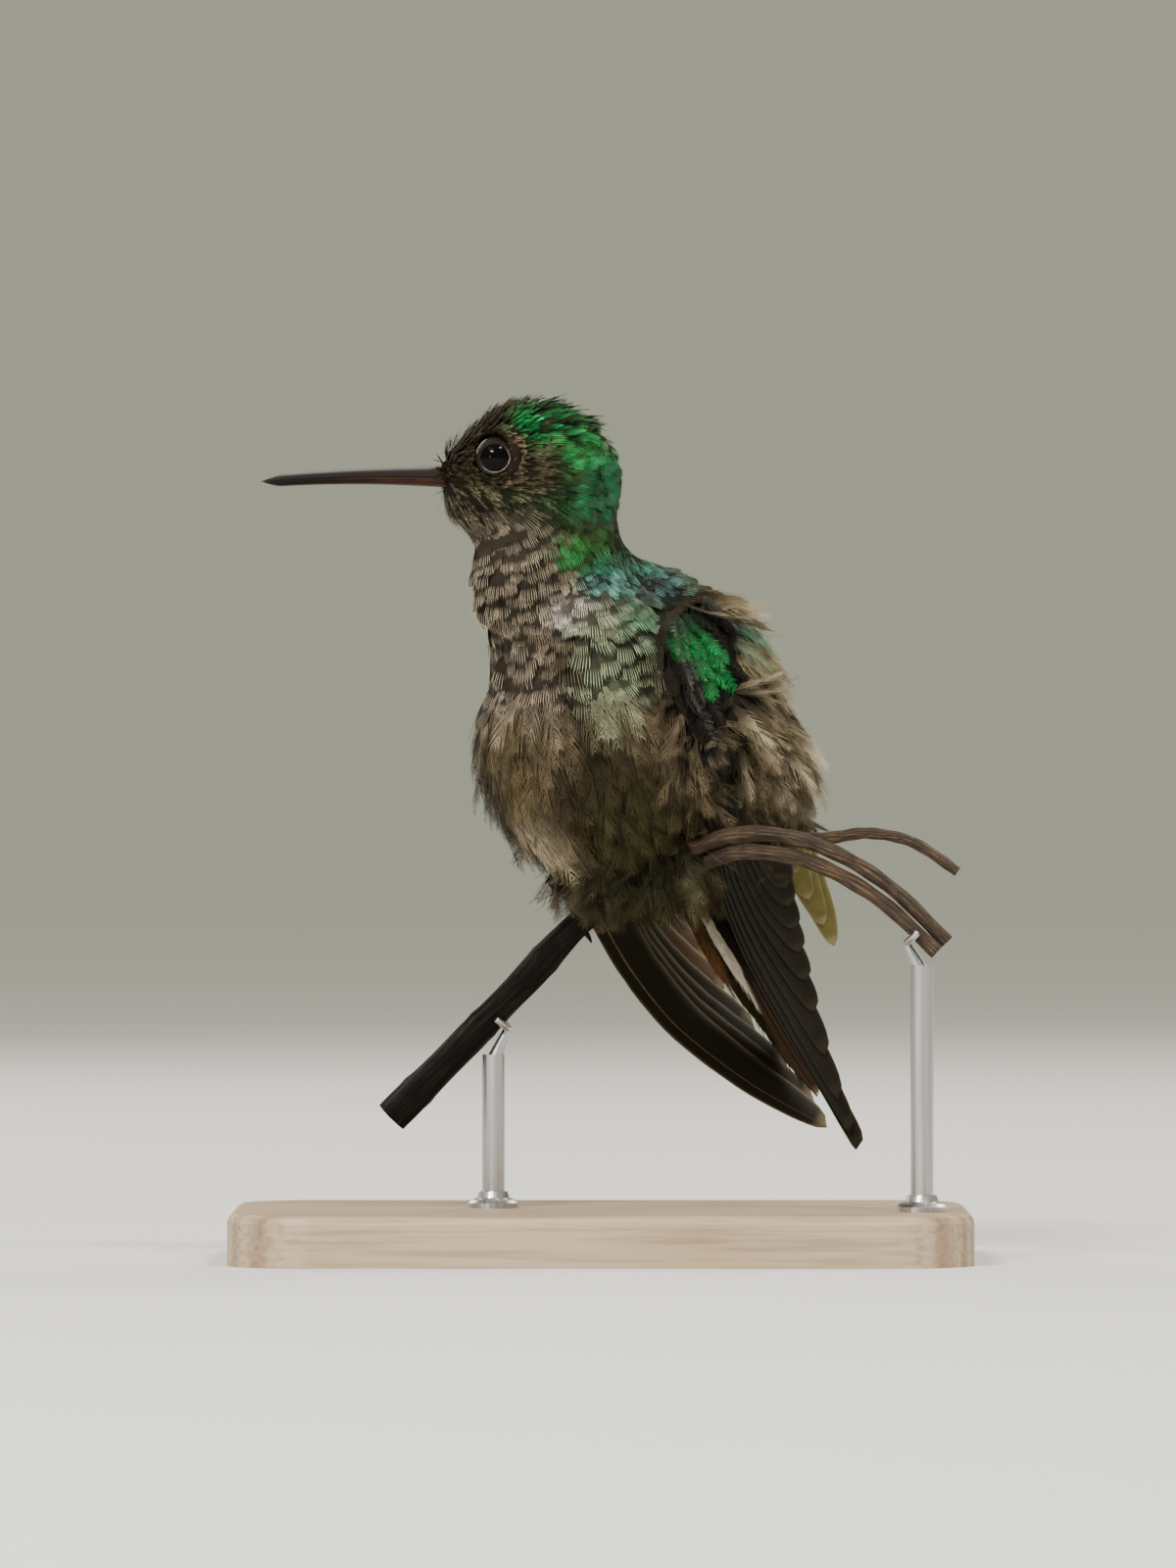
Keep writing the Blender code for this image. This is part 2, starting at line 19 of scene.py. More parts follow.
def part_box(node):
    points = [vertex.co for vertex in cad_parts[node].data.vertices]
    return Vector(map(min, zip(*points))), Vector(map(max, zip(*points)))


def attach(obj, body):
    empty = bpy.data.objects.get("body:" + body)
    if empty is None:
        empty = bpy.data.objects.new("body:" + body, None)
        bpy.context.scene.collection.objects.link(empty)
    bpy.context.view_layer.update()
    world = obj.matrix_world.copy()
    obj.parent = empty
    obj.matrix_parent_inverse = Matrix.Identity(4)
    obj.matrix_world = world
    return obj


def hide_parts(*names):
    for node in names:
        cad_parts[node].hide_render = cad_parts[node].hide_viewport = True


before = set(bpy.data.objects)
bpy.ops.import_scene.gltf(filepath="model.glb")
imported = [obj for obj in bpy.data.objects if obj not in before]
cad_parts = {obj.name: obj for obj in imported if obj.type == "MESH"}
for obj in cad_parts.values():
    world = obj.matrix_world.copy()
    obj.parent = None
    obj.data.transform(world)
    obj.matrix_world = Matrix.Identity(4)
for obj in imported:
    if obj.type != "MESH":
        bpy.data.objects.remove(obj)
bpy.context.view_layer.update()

MM = 0.001
FLESH = ("head", "neck", "trunk", "vent", "wing_left_arm", "wing_right_arm")
SIDES = {-1: "left", 1: "right"}  # of the head: the camera sees its left
WINGS = {1: "wing_left", -1: "wing_right"}  # by their side of the body's middle plane
SEEDS = {"coat": 21, "primary": 40, "secondary": 60, "undertail": 70, "tail": 80, "covert": 90}

# The body's own frame: forward to the breast, left, and up along the spine.
BODY_CENTRE = np.array((2.0, 0.0, 52.0))
BODY_YAW, BODY_LEAN = math.radians(42), math.radians(24)
LEVEL = np.array((-math.cos(BODY_YAW), -math.sin(BODY_YAW), 0.0))
LEFT = np.array((math.sin(BODY_YAW), -math.cos(BODY_YAW), 0.0))
UP = np.array((0.0, 0.0, math.cos(BODY_LEAN))) + LEVEL * math.sin(BODY_LEAN)
FORWARD = np.cross(LEFT, UP)
BODY_AXES = np.array((FORWARD, LEFT, UP))
SKYWARD = np.array((0.0, 0.0, 1.0))
FARWARD = np.array((0.0, 1.0, 0.0))

HEAD_MIDDLE_Y = -3.0
BILL_ROOT = np.array((-14.6, HEAD_MIDDLE_Y, 76.2))
BILL_TIP = np.array((-33.1, HEAD_MIDDLE_Y, 75.8))
EYE_RADIUS = 2.1
EYE_AWAY = 3.75  # from the head's middle plane
EYE_X, EYE_Z = -10.2, 78.1
EYE_OPENING = math.radians(43.5)  # half angle of the eyeball that the lids leave bare
LID_ROOM = math.radians(7)  # bare lid skin round the opening
EYE_HIDDEN_FROM = math.radians(115)  # angle past which the skin ignores the eyeball
EYE_FIT_ROOM, EYE_SKIN_SUNK, EYE_SKIN_GAP = 0.75, 0.35, 0.08  # of the skin round it


# ---------------------------------------------------------------- small maths


def unit(v):
    return v / np.maximum(np.linalg.norm(v, axis=-1, keepdims=True), 1e-9)


def dot(a, b):
    return np.sum(a * b, axis=-1)


def square_to(v, way):
    """Unit vectors of v with the part along the unit vectors way taken out."""
    return unit(v - way * dot(v, way)[..., None])


def blend(a, b, share):
    a = np.asarray(a, float)
    return a + (np.asarray(b) - a) * share


def smooth(low, high, x):
    """0 at low and 1 at high, with soft ends."""
    t = np.clip((x - low) / (high - low), 0.0, 1.0)
    return t * t * (3 - 2 * t)


def around(count):
    """Angles evenly round a circle."""
    return np.linspace(0, math.tau, count, endpoint=False)


def bell(x, middle, width):
    return np.exp(-(((x - middle) / width) ** 2))


def arc(a, b, c, t):
    """Points of the curve from a to c that b pulls on."""
    return a * (1 - t) ** 2 + 2 * b * t * (1 - t) + c * t**2


def to_body(p):
    """World millimetres to (forward, left, up) in the body's frame."""
    return (p - BODY_CENTRE) @ BODY_AXES.T


def from_body(q):
    return np.asarray(q, float) @ BODY_AXES + BODY_CENTRE


def along(points, share):
    """Points of a smooth curve through every given point; share is an array."""
    held = np.asarray(points, float)
    spot = np.clip(share, 0, 1) * (len(held) - 1)
    i = np.minimum(spot.astype(int), len(held) - 2)
    t = (spot - i)[..., None]
    before, after = held[np.maximum(i - 1, 0)], held[np.minimum(i + 2, len(held) - 1)]
    a, b = held[i], held[i + 1]
    start, end = (b - before) / 2, (after - a) / 2
    ends = a * (2 * t**3 - 3 * t**2 + 1) + b * (3 * t**2 - 2 * t**3)
    return ends + start * (t**3 - 2 * t**2 + t) + end * (t**3 - t**2)


def reading(values, share):
    """Straight-line reading of evenly spaced values; share is an array."""
    return np.interp(share, np.linspace(0, 1, len(values)), values)


def value_noise(p, size, seed):
    """Smooth random values from -1 to 1 at points, with lumps about `size` wide."""
    q = p / size + seed * 17.3
    cell = np.floor(q).astype(np.int64)
    t = q - cell
    t = t * t * (3 - 2 * t)
    total = np.zeros(len(p))
    for corner in range(8):
        step = np.array([(corner >> k) & 1 for k in range(3)])
        c = cell + step
        mixed = c[:, 0] * 73856093 ^ c[:, 1] * 19349663 ^ c[:, 2] * 83492791 ^ seed * 7919
        mixed = (mixed ^ (mixed >> 13)) * 1274126177 & 0x7FFFFFFF
        weight = np.prod(np.where(step, t, 1 - t), axis=1)
        total += weight * (mixed / 0x3FFFFFFF - 1.0)
    return total


# ------------------------------------------------------------ meshes in arrays


def mesh_from(name, shape, looks, colours=None, gloss=None, bake=None):
    """A mesh object from points, faces and the Lie map, all as arrays."""
    points, faces, lie = shape
    mesh = bpy.data.meshes.new(name)
    faces = np.asarray(faces, np.int32)
    mesh.vertices.add(len(points))
    mesh.vertices.foreach_set("co", (np.asarray(points) * MM).astype(np.float32).ravel())
    mesh.loops.add(faces.size)
    mesh.loops.foreach_set("vertex_index", faces.ravel())
    mesh.polygons.add(len(faces))
    starts = np.arange(0, faces.size, faces.shape[1], dtype=np.int32)
    mesh.polygons.foreach_set("loop_start", starts)
    mesh.polygons.foreach_set("use_smooth", np.ones(len(faces), bool))
    mesh.update(calc_edges=True)
    if colours is not None:
        tint = mesh.color_attributes.new("tint", "FLOAT_COLOR", "POINT")
        rgba = np.concatenate([colours, np.ones((len(points), 1))], axis=1)
        tint.data.foreach_set("color", rgba.astype(np.float32).ravel())
    if gloss is not None:
        shine = mesh.attributes.new("gloss", "FLOAT", "POINT")
        shine.data.foreach_set("value", gloss.astype(np.float32))
    for label, uv in (("OFBake", bake), ("Lie", lie)):
        if uv is not None:
            layer = mesh.uv_layers.new(name=label)
            spread = uv if len(uv) == faces.size else uv[faces.ravel()]
            layer.data.foreach_set("uv", spread.astype(np.float32).ravel())
    mesh.materials.append(looks)
    made = bpy.data.objects.new(name, mesh)
    bpy.context.scene.collection.objects.link(made)
    return made


def show(piece, slot, *nodes):
    """The piece belongs to the model, in the place of these CAD nodes."""
    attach(piece, "root")
    if nodes:
        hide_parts(*nodes)
    return piece


def grid_faces(rows, columns, closed=True):
    """Quads of a grid of points; closed joins its last column to its first."""
    r, c = np.mgrid[: rows - 1, : columns if closed else columns - 1]
    n = (c + 1) % columns
    quads = (r * columns + c, r * columns + n, (r + 1) * columns + n, (r + 1) * columns + c)
    return np.stack(quads, axis=-1).reshape(-1, 4)


def tube(points, radii, sides=16, first_side=(0.05, 1.0, 0.1), bumps=None):
    """A round bar along points, closed at both ends by a tight ring. Its map is
    (share, turn), and bumps(share, angle) multiplies its radius."""
    count = len(points)
    ways = unit(np.gradient(points, axis=0))
    held = [np.asarray(first_side, float)]
    for way in ways:  # carried along the path without twist
        held.append(square_to(held[-1], way))
    side = np.array(held[1:])
    other = np.cross(ways, side)
    angle, share = around(sides), np.linspace(0, 1, count)
    size = np.asarray(radii, float)[:, None] * np.ones(sides)
    if bumps is not None:
        size = size * bumps(share[:, None], angle[None, :])
    ring = side[:, None] * np.cos(angle)[:, None] + other[:, None] * np.sin(angle)[:, None]
    grid = points[:, None] + ring * size[..., None]
    first = points[:1, None] + (grid[:1] - points[:1, None]) * 0.02
    last = points[-1:, None] + (grid[-1:] - points[-1:, None]) * 0.02
    whole = np.concatenate([first, grid, last]).reshape(-1, 3)
    share = np.repeat(np.concatenate([[0], share, [1]]), sides)
    turn = np.tile(angle / math.tau, count + 2)
    return whole, grid_faces(count + 2, sides), np.stack([share, turn], axis=1)


def merged(parts):
    """Several (points, faces, map) as one."""
    points, faces, uvs = zip(*parts)
    starts = np.cumsum([0] + [len(p) for p in points])
    faces = [f + start for f, start in zip(faces, starts)]
    return np.concatenate(points), np.concatenate(faces), np.concatenate(uvs)


# ------------------------------------------------------------------- materials


class Nodes:
    """Short calls for the nodes of one material or world. An input's name is given
    with _ for each space, and its value is a socket to link or a constant."""

    def __init__(self, owner, shader="Principled BSDF"):
        owner.use_nodes = True
        self.owner, self.tree = owner, owner.node_tree
        self.shader = self.tree.nodes[shader]

    def feed(self, socket, value):
        if isinstance(value, bpy.types.NodeSocket):
            self.tree.links.new(value, socket)
        else:
            socket.default_value = value

    def fill(self, node, inputs):
        for key, value in inputs.items():
            self.feed(node.inputs[key.replace("_", " ")], value)
        return node

    def add(self, kind, settings=None, **inputs):
        node = self.tree.nodes.new(kind)
        for key, value in (settings or {}).items():
            setattr(node, key, value)
        return self.fill(node, inputs).outputs

    def set(self, **inputs):
        self.fill(self.shader, inputs)
        return self.owner

    def attribute(self, name, output="Color"):
        return self.add("ShaderNodeAttribute", {"attribute_name": name})[output]

    def place(self, stretch=(1.0, 1.0, 1.0), source="Object"):
        """Stretched coordinates; source "Lie" is the mesh's own map."""
        if source == "Lie":
            spot = self.add("ShaderNodeUVMap", {"uv_map": source})["UV"]
        else:
            spot = self.add("ShaderNodeTexCoord")[source]
        return self.add("ShaderNodeMapping", Vector=spot, Scale=stretch)["Vector"]

    def part(self, vector, letter):
        return self.add("ShaderNodeSeparateXYZ", Vector=vector)[letter]

    def noise(self, vector, scale, detail=3.0, rough=0.55):
        settings = {"Vector": vector, "Scale": scale, "Detail": detail, "Roughness": rough}
        return self.add("ShaderNodeTexNoise", **settings)["Fac"]

    def ramp(self, factor, *stops):
        made = self.tree.nodes.new("ShaderNodeValToRGB")
        points = made.color_ramp.elements
        while len(points) < len(stops):
            points.new(0.5)
        for point, (place, colour) in zip(points, stops):
            point.position = place
            point.color = (*colour, 1.0)
        return self.fill(made, {"Fac": factor}).outputs["Color"]

    def span(self, value, low, high, start=0.0, end=1.0):
        """Reads low where the value is start and high where it is end."""
        limits = {"From_Min": start, "From_Max": end, "To_Min": low, "To_Max": high}
        return self.add("ShaderNodeMapRange", Value=value, **limits)["Result"]

    def mix(self, kind, factor, a, b):
        made = self.tree.nodes.new("ShaderNodeMix")
        made.data_type, made.blend_type = "RGBA", kind
        for number, value in ((0, factor), (6, a), (7, b)):
            value = (*value, 1.0) if isinstance(value, tuple) else value
            self.feed(made.inputs[number], value)
        return made.outputs[2]

    def times(self, colour, grey):
        level = self.add("ShaderNodeCombineColor", Red=grey, Green=grey, Blue=grey)["Color"]
        return self.mix("MULTIPLY", 1.0, colour, level)

    def math(self, kind, a, b=0.0):
        made = self.tree.nodes.new("ShaderNodeMath")
        made.operation = kind
        self.feed(made.inputs[0], a)
        self.feed(made.inputs[1], b)
        return made.outputs[0]

    def bump(self, height, distance, strength=0.8):
        settings = {"Height": height, "Distance": distance, "Strength": strength}
        self.set(Normal=self.add("ShaderNodeBump", **settings)["Normal"])


def material(name):
    return Nodes(bpy.data.materials.new(name))


def plumage(name, barbs=0.0, sheen=0.05, rough=(0.78, 0.36), variety=0.35):
    """Colours from the mesh's tint, mottled; barbs is how many lines the vane shows."""
    m = material(name)
    gloss, place = m.attribute("gloss", "Fac"), m.place()
    mottle = m.span(m.noise(place, 900.0, 2.0), 1 - variety, 1 + variety, 0.25, 0.75)
    colour = m.times(m.attribute("tint"), mottle)
    if barbs:
        across, run = (m.part(m.place(source="Lie"), letter) for letter in "XY")
        aside = m.math("ABSOLUTE", m.math("SUBTRACT", across, 0.5))
        run = m.math("SUBTRACT", run, m.math("MULTIPLY", aside, 0.35))
        wave = m.math("SINE", m.math("MULTIPLY", run, barbs * math.tau))
        ridge = m.span(wave, 0.0, 1.0, -1.0)
        colour = m.times(colour, m.span(ridge, 0.72, 1.12))
        m.bump(ridge, 0.00003)
    else:
        m.bump(m.noise(place, 5200.0, 2.0), 0.00004, 0.6)
    m.set(Base_Color=colour, Metallic=m.span(gloss, 0.0, 0.5), Roughness=m.span(gloss, *rough))
    return m.set(Sheen_Weight=sheen, Sheen_Roughness=0.5, Specular_IOR_Level=0.12)


def skin_look():
    """Thin greyish skin under the coat, with its markings."""
    m = material("bird_skin")
    cells = m.add("ShaderNodeTexVoronoi", Vector=m.place(), Scale=1400.0)["Distance"]
    m.bump(cells, 0.0001, 0.6)
    colour = m.times(m.attribute("tint"), m.span(cells, 0.7, 1.05))
    return m.set(Base_Color=colour, Roughness=0.9, Specular_IOR_Level=0.1)


def bark_look(name, dark, mid, light, grooves, gleam, shaded=0.0):
    """Ridged bark: long fibres along the stem, with cracks and pale scars. The first
    share of a stem may be darkened with painted shade."""
    m = material(name)
    fibres = m.noise(m.place((3.0, grooves, 1.0), "Lie"), 3.0, 6.0, 0.65)
    scars = m.noise(m.place(), 420.0, 4.0)
    base = m.ramp(fibres, (0.30, dark), (0.52, mid), (0.74, light))
    worn = m.ramp(scars, (0.40, (0.55, 0.55, 0.55)), (0.66, (1.35, 1.3, 1.25)))
    colour = m.mix("MULTIPLY", 1.0, base, worn)
    # Painted shade: the stem darkens towards its start, where it goes into the shadow under the
    # bird.
    if shaded:
        run = m.part(m.place(source="Lie"), "X")
        colour = m.times(colour, m.span(run, 0.05, 1.0, shaded * 0.4, shaded))
    m.bump(m.math("ADD", fibres, m.math("MULTIPLY", scars, 0.4)), 0.0003, 0.9)
    m.set(Base_Color=colour, Roughness=m.span(fibres, 0.85, 0.5, 0.3, 0.7))
    return m.set(Specular_IOR_Level=gleam)


# The paler band painted along the culmen is a painted highlight.
RIDGE_AT = 0.26  # where the culmen lies in the bill's unwrap, around it


def horn_look(name, dark, light, ridge=None):
    """Horny sheath with fine lines along its length, darker towards the tip. A ridge
    colour, if given, is a painted highlight along the culmen.
    """
    m = material(name)
    lines = m.noise(m.place((25.0, 400.0, 400.0)), 14.0, 5.0)
    dark_from = blend(BILL_TIP[0], BILL_ROOT[0], 0.35) * MM
    tip = m.span(m.part(m.place(), "X"), 1.0, 0.0, dark_from, BILL_ROOT[0] * MM)
    worn = m.ramp(lines, (0.35, dark), (0.65, light))
    colour = m.mix("MIX", m.math("MULTIPLY", tip, 0.95), worn, dark)
    # Painted highlight: a paler band along the top of the culmen.
    if ridge:
        turn = m.part(m.place(source="Lie"), "Y")
        off = m.math("ABSOLUTE", m.math("SUBTRACT", turn, RIDGE_AT))
        colour = m.mix("MIX", m.span(off, 0.9, 0.0, 0.07, 0.15), colour, ridge)
    m.bump(lines, 0.000008, 0.3)
    m.set(Base_Color=colour, Roughness=m.span(lines, 0.42, 0.57, 0.3, 0.7))
    return m.set(Specular_IOR_Level=0.12)


def streaked(name, scale, tones, rough, stretch=(1, 1, 1), source="Object", bump=0.0, **more):
    """Two tones in a fine noise, which also sets the roughness."""
    m = material(name)
    streaks = m.noise(m.place(stretch, source), scale)
    if bump:
        m.bump(streaks, bump)
    return m.set(Base_Color=m.ramp(streaks, *tones), Roughness=m.span(streaks, *rough), **more)


def leg_look():
    tones = (0.3, (0.012, 0.009, 0.008)), (0.7, (0.075, 0.055, 0.045))
    return streaked("leg_skin", 2.0, tones, (0.65, 0.42), (26, 2, 1), "Lie", 0.00012)


def claw_look():
    tones = (0.3, (0.008, 0.006, 0.005)), (0.8, (0.06, 0.045, 0.035))
    return streaked("claw_horn", 2600.0, tones, (0.25, 0.45))


def steel_look():
    tones = (0.3, (0.42, 0.42, 0.43)), (0.7, (0.62, 0.62, 0.63))
    return streaked("stand_steel", 30.0, tones, (0.22, 0.42), (60, 60, 1), Metallic=1.0)


def floor_look():
    m = material("floor_pale")
    tones = (0.0, (0.784, 0.784, 0.784)), (1.0, (0.80, 0.80, 0.80))
    return m.set(Base_Color=m.ramp(m.noise(m.place(), 60.0, 2.0), *tones), Roughness=0.9)


def eye_look():
    """Near-black eye: a dark brown iris round the pupil under a wet cornea."""
    m = material("eye_black")
    fibres = m.noise(m.place((60.0, 3.0, 1.0), "Lie"), 2.0, 4.0)
    brown = m.ramp(fibres, (0.3, (0.003, 0.0015, 0.001)), (0.7, (0.010, 0.005, 0.003)))
    iris = m.span(m.part(m.place(source="Lie"), "Y"), 0.0, 1.0, 0.225, 0.25)
    m.set(Base_Color=m.mix("MIX", iris, (0.002, 0.002, 0.002), brown), Roughness=0.5)
    return m.set(Specular_IOR_Level=0.0, Coat_Weight=1.0, Coat_IOR=1.18, Coat_Roughness=0.02)


def lid_look():
    """Bare wrinkled lid skin, paler along its rim."""
    m = material("lid_skin")
    folds = m.noise(m.place((70.0, 4.0, 1.0), "Lie"), 2.0, 4.0)
    dim = m.ramp(folds, (0.3, (0.6, 0.6, 0.6)), (0.7, (1.15, 1.15, 1.15)))
    m.bump(folds, 0.00008)
    colour = m.mix("MULTIPLY", 1.0, m.attribute("tint"), dim)
    return m.set(Base_Color=colour, Roughness=0.6, Specular_IOR_Level=0.15)


def wood_look():
    m = material("stand_wood")
    wave = {"Vector": m.place((1, 9, 1)), "Scale": 14.0, "Distortion": 5.0, "Detail": 4.0}
    rings = m.add("ShaderNodeTexWave", {"bands_direction": "Y"}, **wave)["Fac"]
    pores = m.noise(m.place((30.0, 900.0, 900.0)), 2.0, 5.0)
    grain = m.ramp(rings, (0.1, (0.36, 0.25, 0.16)), (0.9, (0.52, 0.39, 0.27)))
    fine = m.ramp(pores, (0.35, (0.72, 0.7, 0.68)), (0.55, (1.0, 1.0, 1.0)))
    m.bump(pores, 0.0001, 0.3)
    return m.set(
        Base_Color=m.mix("MULTIPLY", 1.0, grain, fine), Roughness=m.span(pores, 0.62, 0.42)
    )


# -------------------------------------------------------------------- the skin

SKIN_GROWTH = 0.45  # closes the thin cuts between the flesh nodes
SKIN_VOXEL = 0.5
FLESH_WELD = 0.002
SKIN_STEPS = 6
ARM_SKIN_DEPTH = 0.7  # under the coverts on the wings' arms


SKIN_SMOOTHING = 0.45


def coat_depth(p):
    """How far the skin lies under the feathers' outer surface."""
    q = to_body(p)
    head = smooth(70.0, 74.0, p[:, 2])
    belly = smooth(-1.0, 6.0, q[:, 0]) * smooth(12.0, 3.0, q[:, 2])
    throat, face = smooth(64.0, 69.0, p[:, 2]), smooth(-8.0, -11.5, p[:, 0]) * head
    depth = np.full(len(p), 2.0)
    for under, where in ((2.7, belly), (1.3, throat), (0.8, head), (0.4, face)):
        depth = blend(depth, under, where)
    return np.where(near_arms(p), np.minimum(depth, ARM_SKIN_DEPTH), depth)


def vertex_normals(points, quads):
    a, b, c, d = (points[quads[:, k]] for k in range(4))
    face, total = np.cross(c - a, d - b), np.zeros_like(points)
    for k in range(4):
        np.add.at(total, quads[:, k], face)
    return unit(total)


def relaxed(points, quads, amount):
    """Each point moved towards the mean of its neighbours."""
    total, count = np.zeros_like(points), np.zeros(len(points))
    for k in range(4):
        ends = quads[:, k], quads[:, (k + 1) % 4]
        for here, there in (ends, ends[::-1]):
            np.add.at(total, here, points[there])
            np.add.at(count, here, 1)
    return blend(points, total / count[:, None], amount)


def flesh_whole():
    """The flesh nodes grown into one closed quad mesh, in millimetres."""
    shape = bmesh.new()
    for node in FLESH:
        shape.from_mesh(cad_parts[node].data)
    bmesh.ops.scale(shape, vec=(1 / MM,) * 3, verts=shape.verts)
    bmesh.ops.remove_doubles(shape, verts=shape.verts, dist=FLESH_WELD)
    mesh = bpy.data.meshes.new("flesh")
    shape.to_mesh(mesh)
    shape.free()
    body = bpy.data.objects.new("flesh", mesh)
    bpy.context.scene.collection.objects.link(body)
    grow = body.modifiers.new("grow", "DISPLACE")
    grow.strength = SKIN_GROWTH
    grow.mid_level = 0.0
    remesh = body.modifiers.new("one_skin", "REMESH")
    remesh.mode = "VOXEL"
    remesh.voxel_size = SKIN_VOXEL
    made = body.evaluated_get(bpy.context.evaluated_depsgraph_get()).to_mesh()
    points = np.zeros(len(made.vertices) * 3)
    made.vertices.foreach_get("co", points)
    quads = np.zeros(len(made.polygons) * 4, np.int64)
    made.loops.foreach_get("vertex_index", quads)
    bpy.data.objects.remove(body)
    return points.reshape(-1, 3), quads.reshape(-1, 4)


def eye_centre(side):
    """side is -1 for the left eye, on the side the camera sees."""
    return np.array((EYE_X, HEAD_MIDDLE_Y + side * EYE_AWAY, EYE_Z))


def eye_way(side):
    return unit(np.array((-0.02, side, -0.05)))


def from_eye(p, side):
    """Unit vectors, distances and angles of points seen from one eye's centre."""
    away = p - eye_centre(side)
    reach = np.linalg.norm(away, axis=1)
    ahead = dot(away, eye_way(side)) / np.maximum(reach, 1e-6)
    return unit(away), reach, np.arccos(np.clip(ahead, -1, 1))


def fitted_round_eyes(points):
    """Skin drawn to the lids' edge round each eyeball, and hidden behind it inside."""
    for side in SIDES:
        way, reach, angle = from_eye(points, side)
        near = (reach < EYE_RADIUS + EYE_FIT_ROOM) & (angle < EYE_HIDDEN_FROM)
        inside = near & (angle < EYE_OPENING)
        outside = np.maximum(reach, EYE_RADIUS + EYE_SKIN_GAP)
        size = np.where(inside, EYE_RADIUS - EYE_SKIN_SUNK, outside)
        moved = eye_centre(side) + way * size[:, None]
        points = np.where(near[:, None], moved, points)
    return points


def build_skin_arrays():
    points, quads = flesh_whole()
    depth = coat_depth(points) + SKIN_GROWTH
    for _ in range(SKIN_STEPS):
        points = points - vertex_normals(points, quads) * (depth / SKIN_STEPS)[:, None]
        points = relaxed(points, quads, SKIN_SMOOTHING)
    return fitted_round_eyes(points), quads


SPINE_FOOT, SPINE_LENGTH = 34.0, 52.0  # heights on the model
SPINE_LOW, SPINE_HIGH = (3.5, 0.5), (-6.0, HEAD_MIDDLE_Y)  # its x and y, below and above
BAKE_MARGIN, BAKE_SIZE = 0.02, np.array((0.90, 0.94))


def bake_place(p):
    """Place of points on the unwrap of the skin's own shape: turn round the bird's
    spine, and height."""
    height = (p[:, 2] - SPINE_FOOT) / SPINE_LENGTH
    middle = blend(SPINE_LOW, SPINE_HIGH, smooth(0.45, 0.75, height)[:, None])
    turn = np.arctan2(p[:, 1] - middle[:, 1], p[:, 0] - middle[:, 0]) / math.tau
    spot = np.stack([(turn + 1.3) % 1.0, np.clip(height, 0, 1)], axis=1)
    return BAKE_MARGIN + spot * BAKE_SIZE


# -------------------------------------------------------------------- markings

GREY_BROWN = (0.085, 0.060, 0.028)
TAUPE = (0.140, 0.107, 0.063)
BUFF = (0.46, 0.38, 0.25)
PINK_GREY = (0.46, 0.37, 0.265)
WHITISH = (1.0, 0.93, 0.80)
DARK_BROWN = (0.050, 0.030, 0.012)
OLIVE = (0.060, 0.055, 0.020)
EMERALD = (0.012, 0.34, 0.080)
DEEP_GREEN = (0.014, 0.12, 0.028)
TURQUOISE = (0.006, 0.19, 0.080)
SEA_BLUE = (0.028, 0.30, 0.19)
SKY = (0.16, 0.42, 0.36)
PALE_GREEN = (0.52, 0.60, 0.37)
LEAF_GREEN = (0.035, 0.30, 0.07)
BRONZE_GREEN = (0.050, 0.13, 0.035)
SHADED_OLIVE = (0.048, 0.040, 0.015)
DUSK = (0.010, 0.007, 0.004)
MANTLE_BROWN = (0.18, 0.145, 0.070)
LID_BUFF = (0.26, 0.17, 0.11)
RIM_BROWN = (0.045, 0.022, 0.009)

CHEEK_LINES = (0.42, 0.37, 0.23)
WEB_PALE = (0.80, 0.66, 0.46)
WEB_BROWN = (0.13, 0.080, 0.040)

# Each patch: x and z of its middle, half sizes, colour and gloss.
HEAD_PATCHES = (
    ((-2.8, 77.2), (5.6, 6.6), DEEP_GREEN, 0.75),
    ((-5.6, 81.2), (3.4, 1.5), EMERALD, 1.0),
    ((-1.4, 78.8), (2.8, 2.6), (0.012, 0.27, 0.065), 1.0),
    ((0.2, 76.4), (1.5, 1.6), (0.015, 0.30, 0.13), 1.0),
    ((-0.4, 73.6), (2.4, 2.6), TURQUOISE, 1.0),
    ((-5.8, 76.4), (2.6, 2.2), OLIVE, 0.25),
    ((-13.4, 72.6), (3.0, 1.8), (0.034, 0.023, 0.013), 0.0),
)
NECK_PATCHES = (
    ((0.8, 69.3), (4.4, 3.0), BRONZE_GREEN, 0.6),
    ((-1.6, 68.8), (3.2, 1.9), LEAF_GREEN, 0.7),
    ((2.6, 66.4), (3.8, 2.3), SEA_BLUE, 0.95),
    ((0.6, 65.6), (2.4, 1.2), SKY, 0.8),
    ((6.0, 65.2), (2.6, 1.6), (0.10, 0.22, 0.21), 0.6),
    ((14.2, 60.4), (1.4, 1.1), SEA_BLUE, 0.8),
)
BREAST_PATCHES = (
    ((-2.0, 62.6), (3.2, 1.7), WHITISH, 0.0),
    ((1.2, 58.2), (3.8, 5.4), PALE_GREEN, 0.2),
    ((3.8, 62.0), (2.0, 1.7), (0.26, 0.52, 0.30), 0.5),
    # Painted shade: this patch and the next darken the lower belly where it turns down and away
    # from the light.
    ((0.6, 45.2), (5.4, 5.8), (0.034, 0.025, 0.011), 0.0),
    ((3.0, 42.5), (4.4, 5.0), SHADED_OLIVE, 0.1),
    ((-8.0, 56.5), (4.0, 4.0), (0.50, 0.40, 0.30), 0.0),
    ((-8.5, 45.0), (3.0, 6.0), (0.135, 0.098, 0.047), 0.0),
    ((-6.2, 39.6), (3.4, 3.2), BUFF, 0.0),
    ((8.8, 51.0), (2.0, 4.0), (0.16, 0.12, 0.072), 0.0),
    # Painted shade under the belly, by the feet and the perch.
    ((5.0, 36.4), (7.0, 3.6), (0.030, 0.026, 0.010), 0.1),
    ((9.2, 37.0), (1.0, 0.9), (0.20, 0.18, 0.10), 0.0),
)


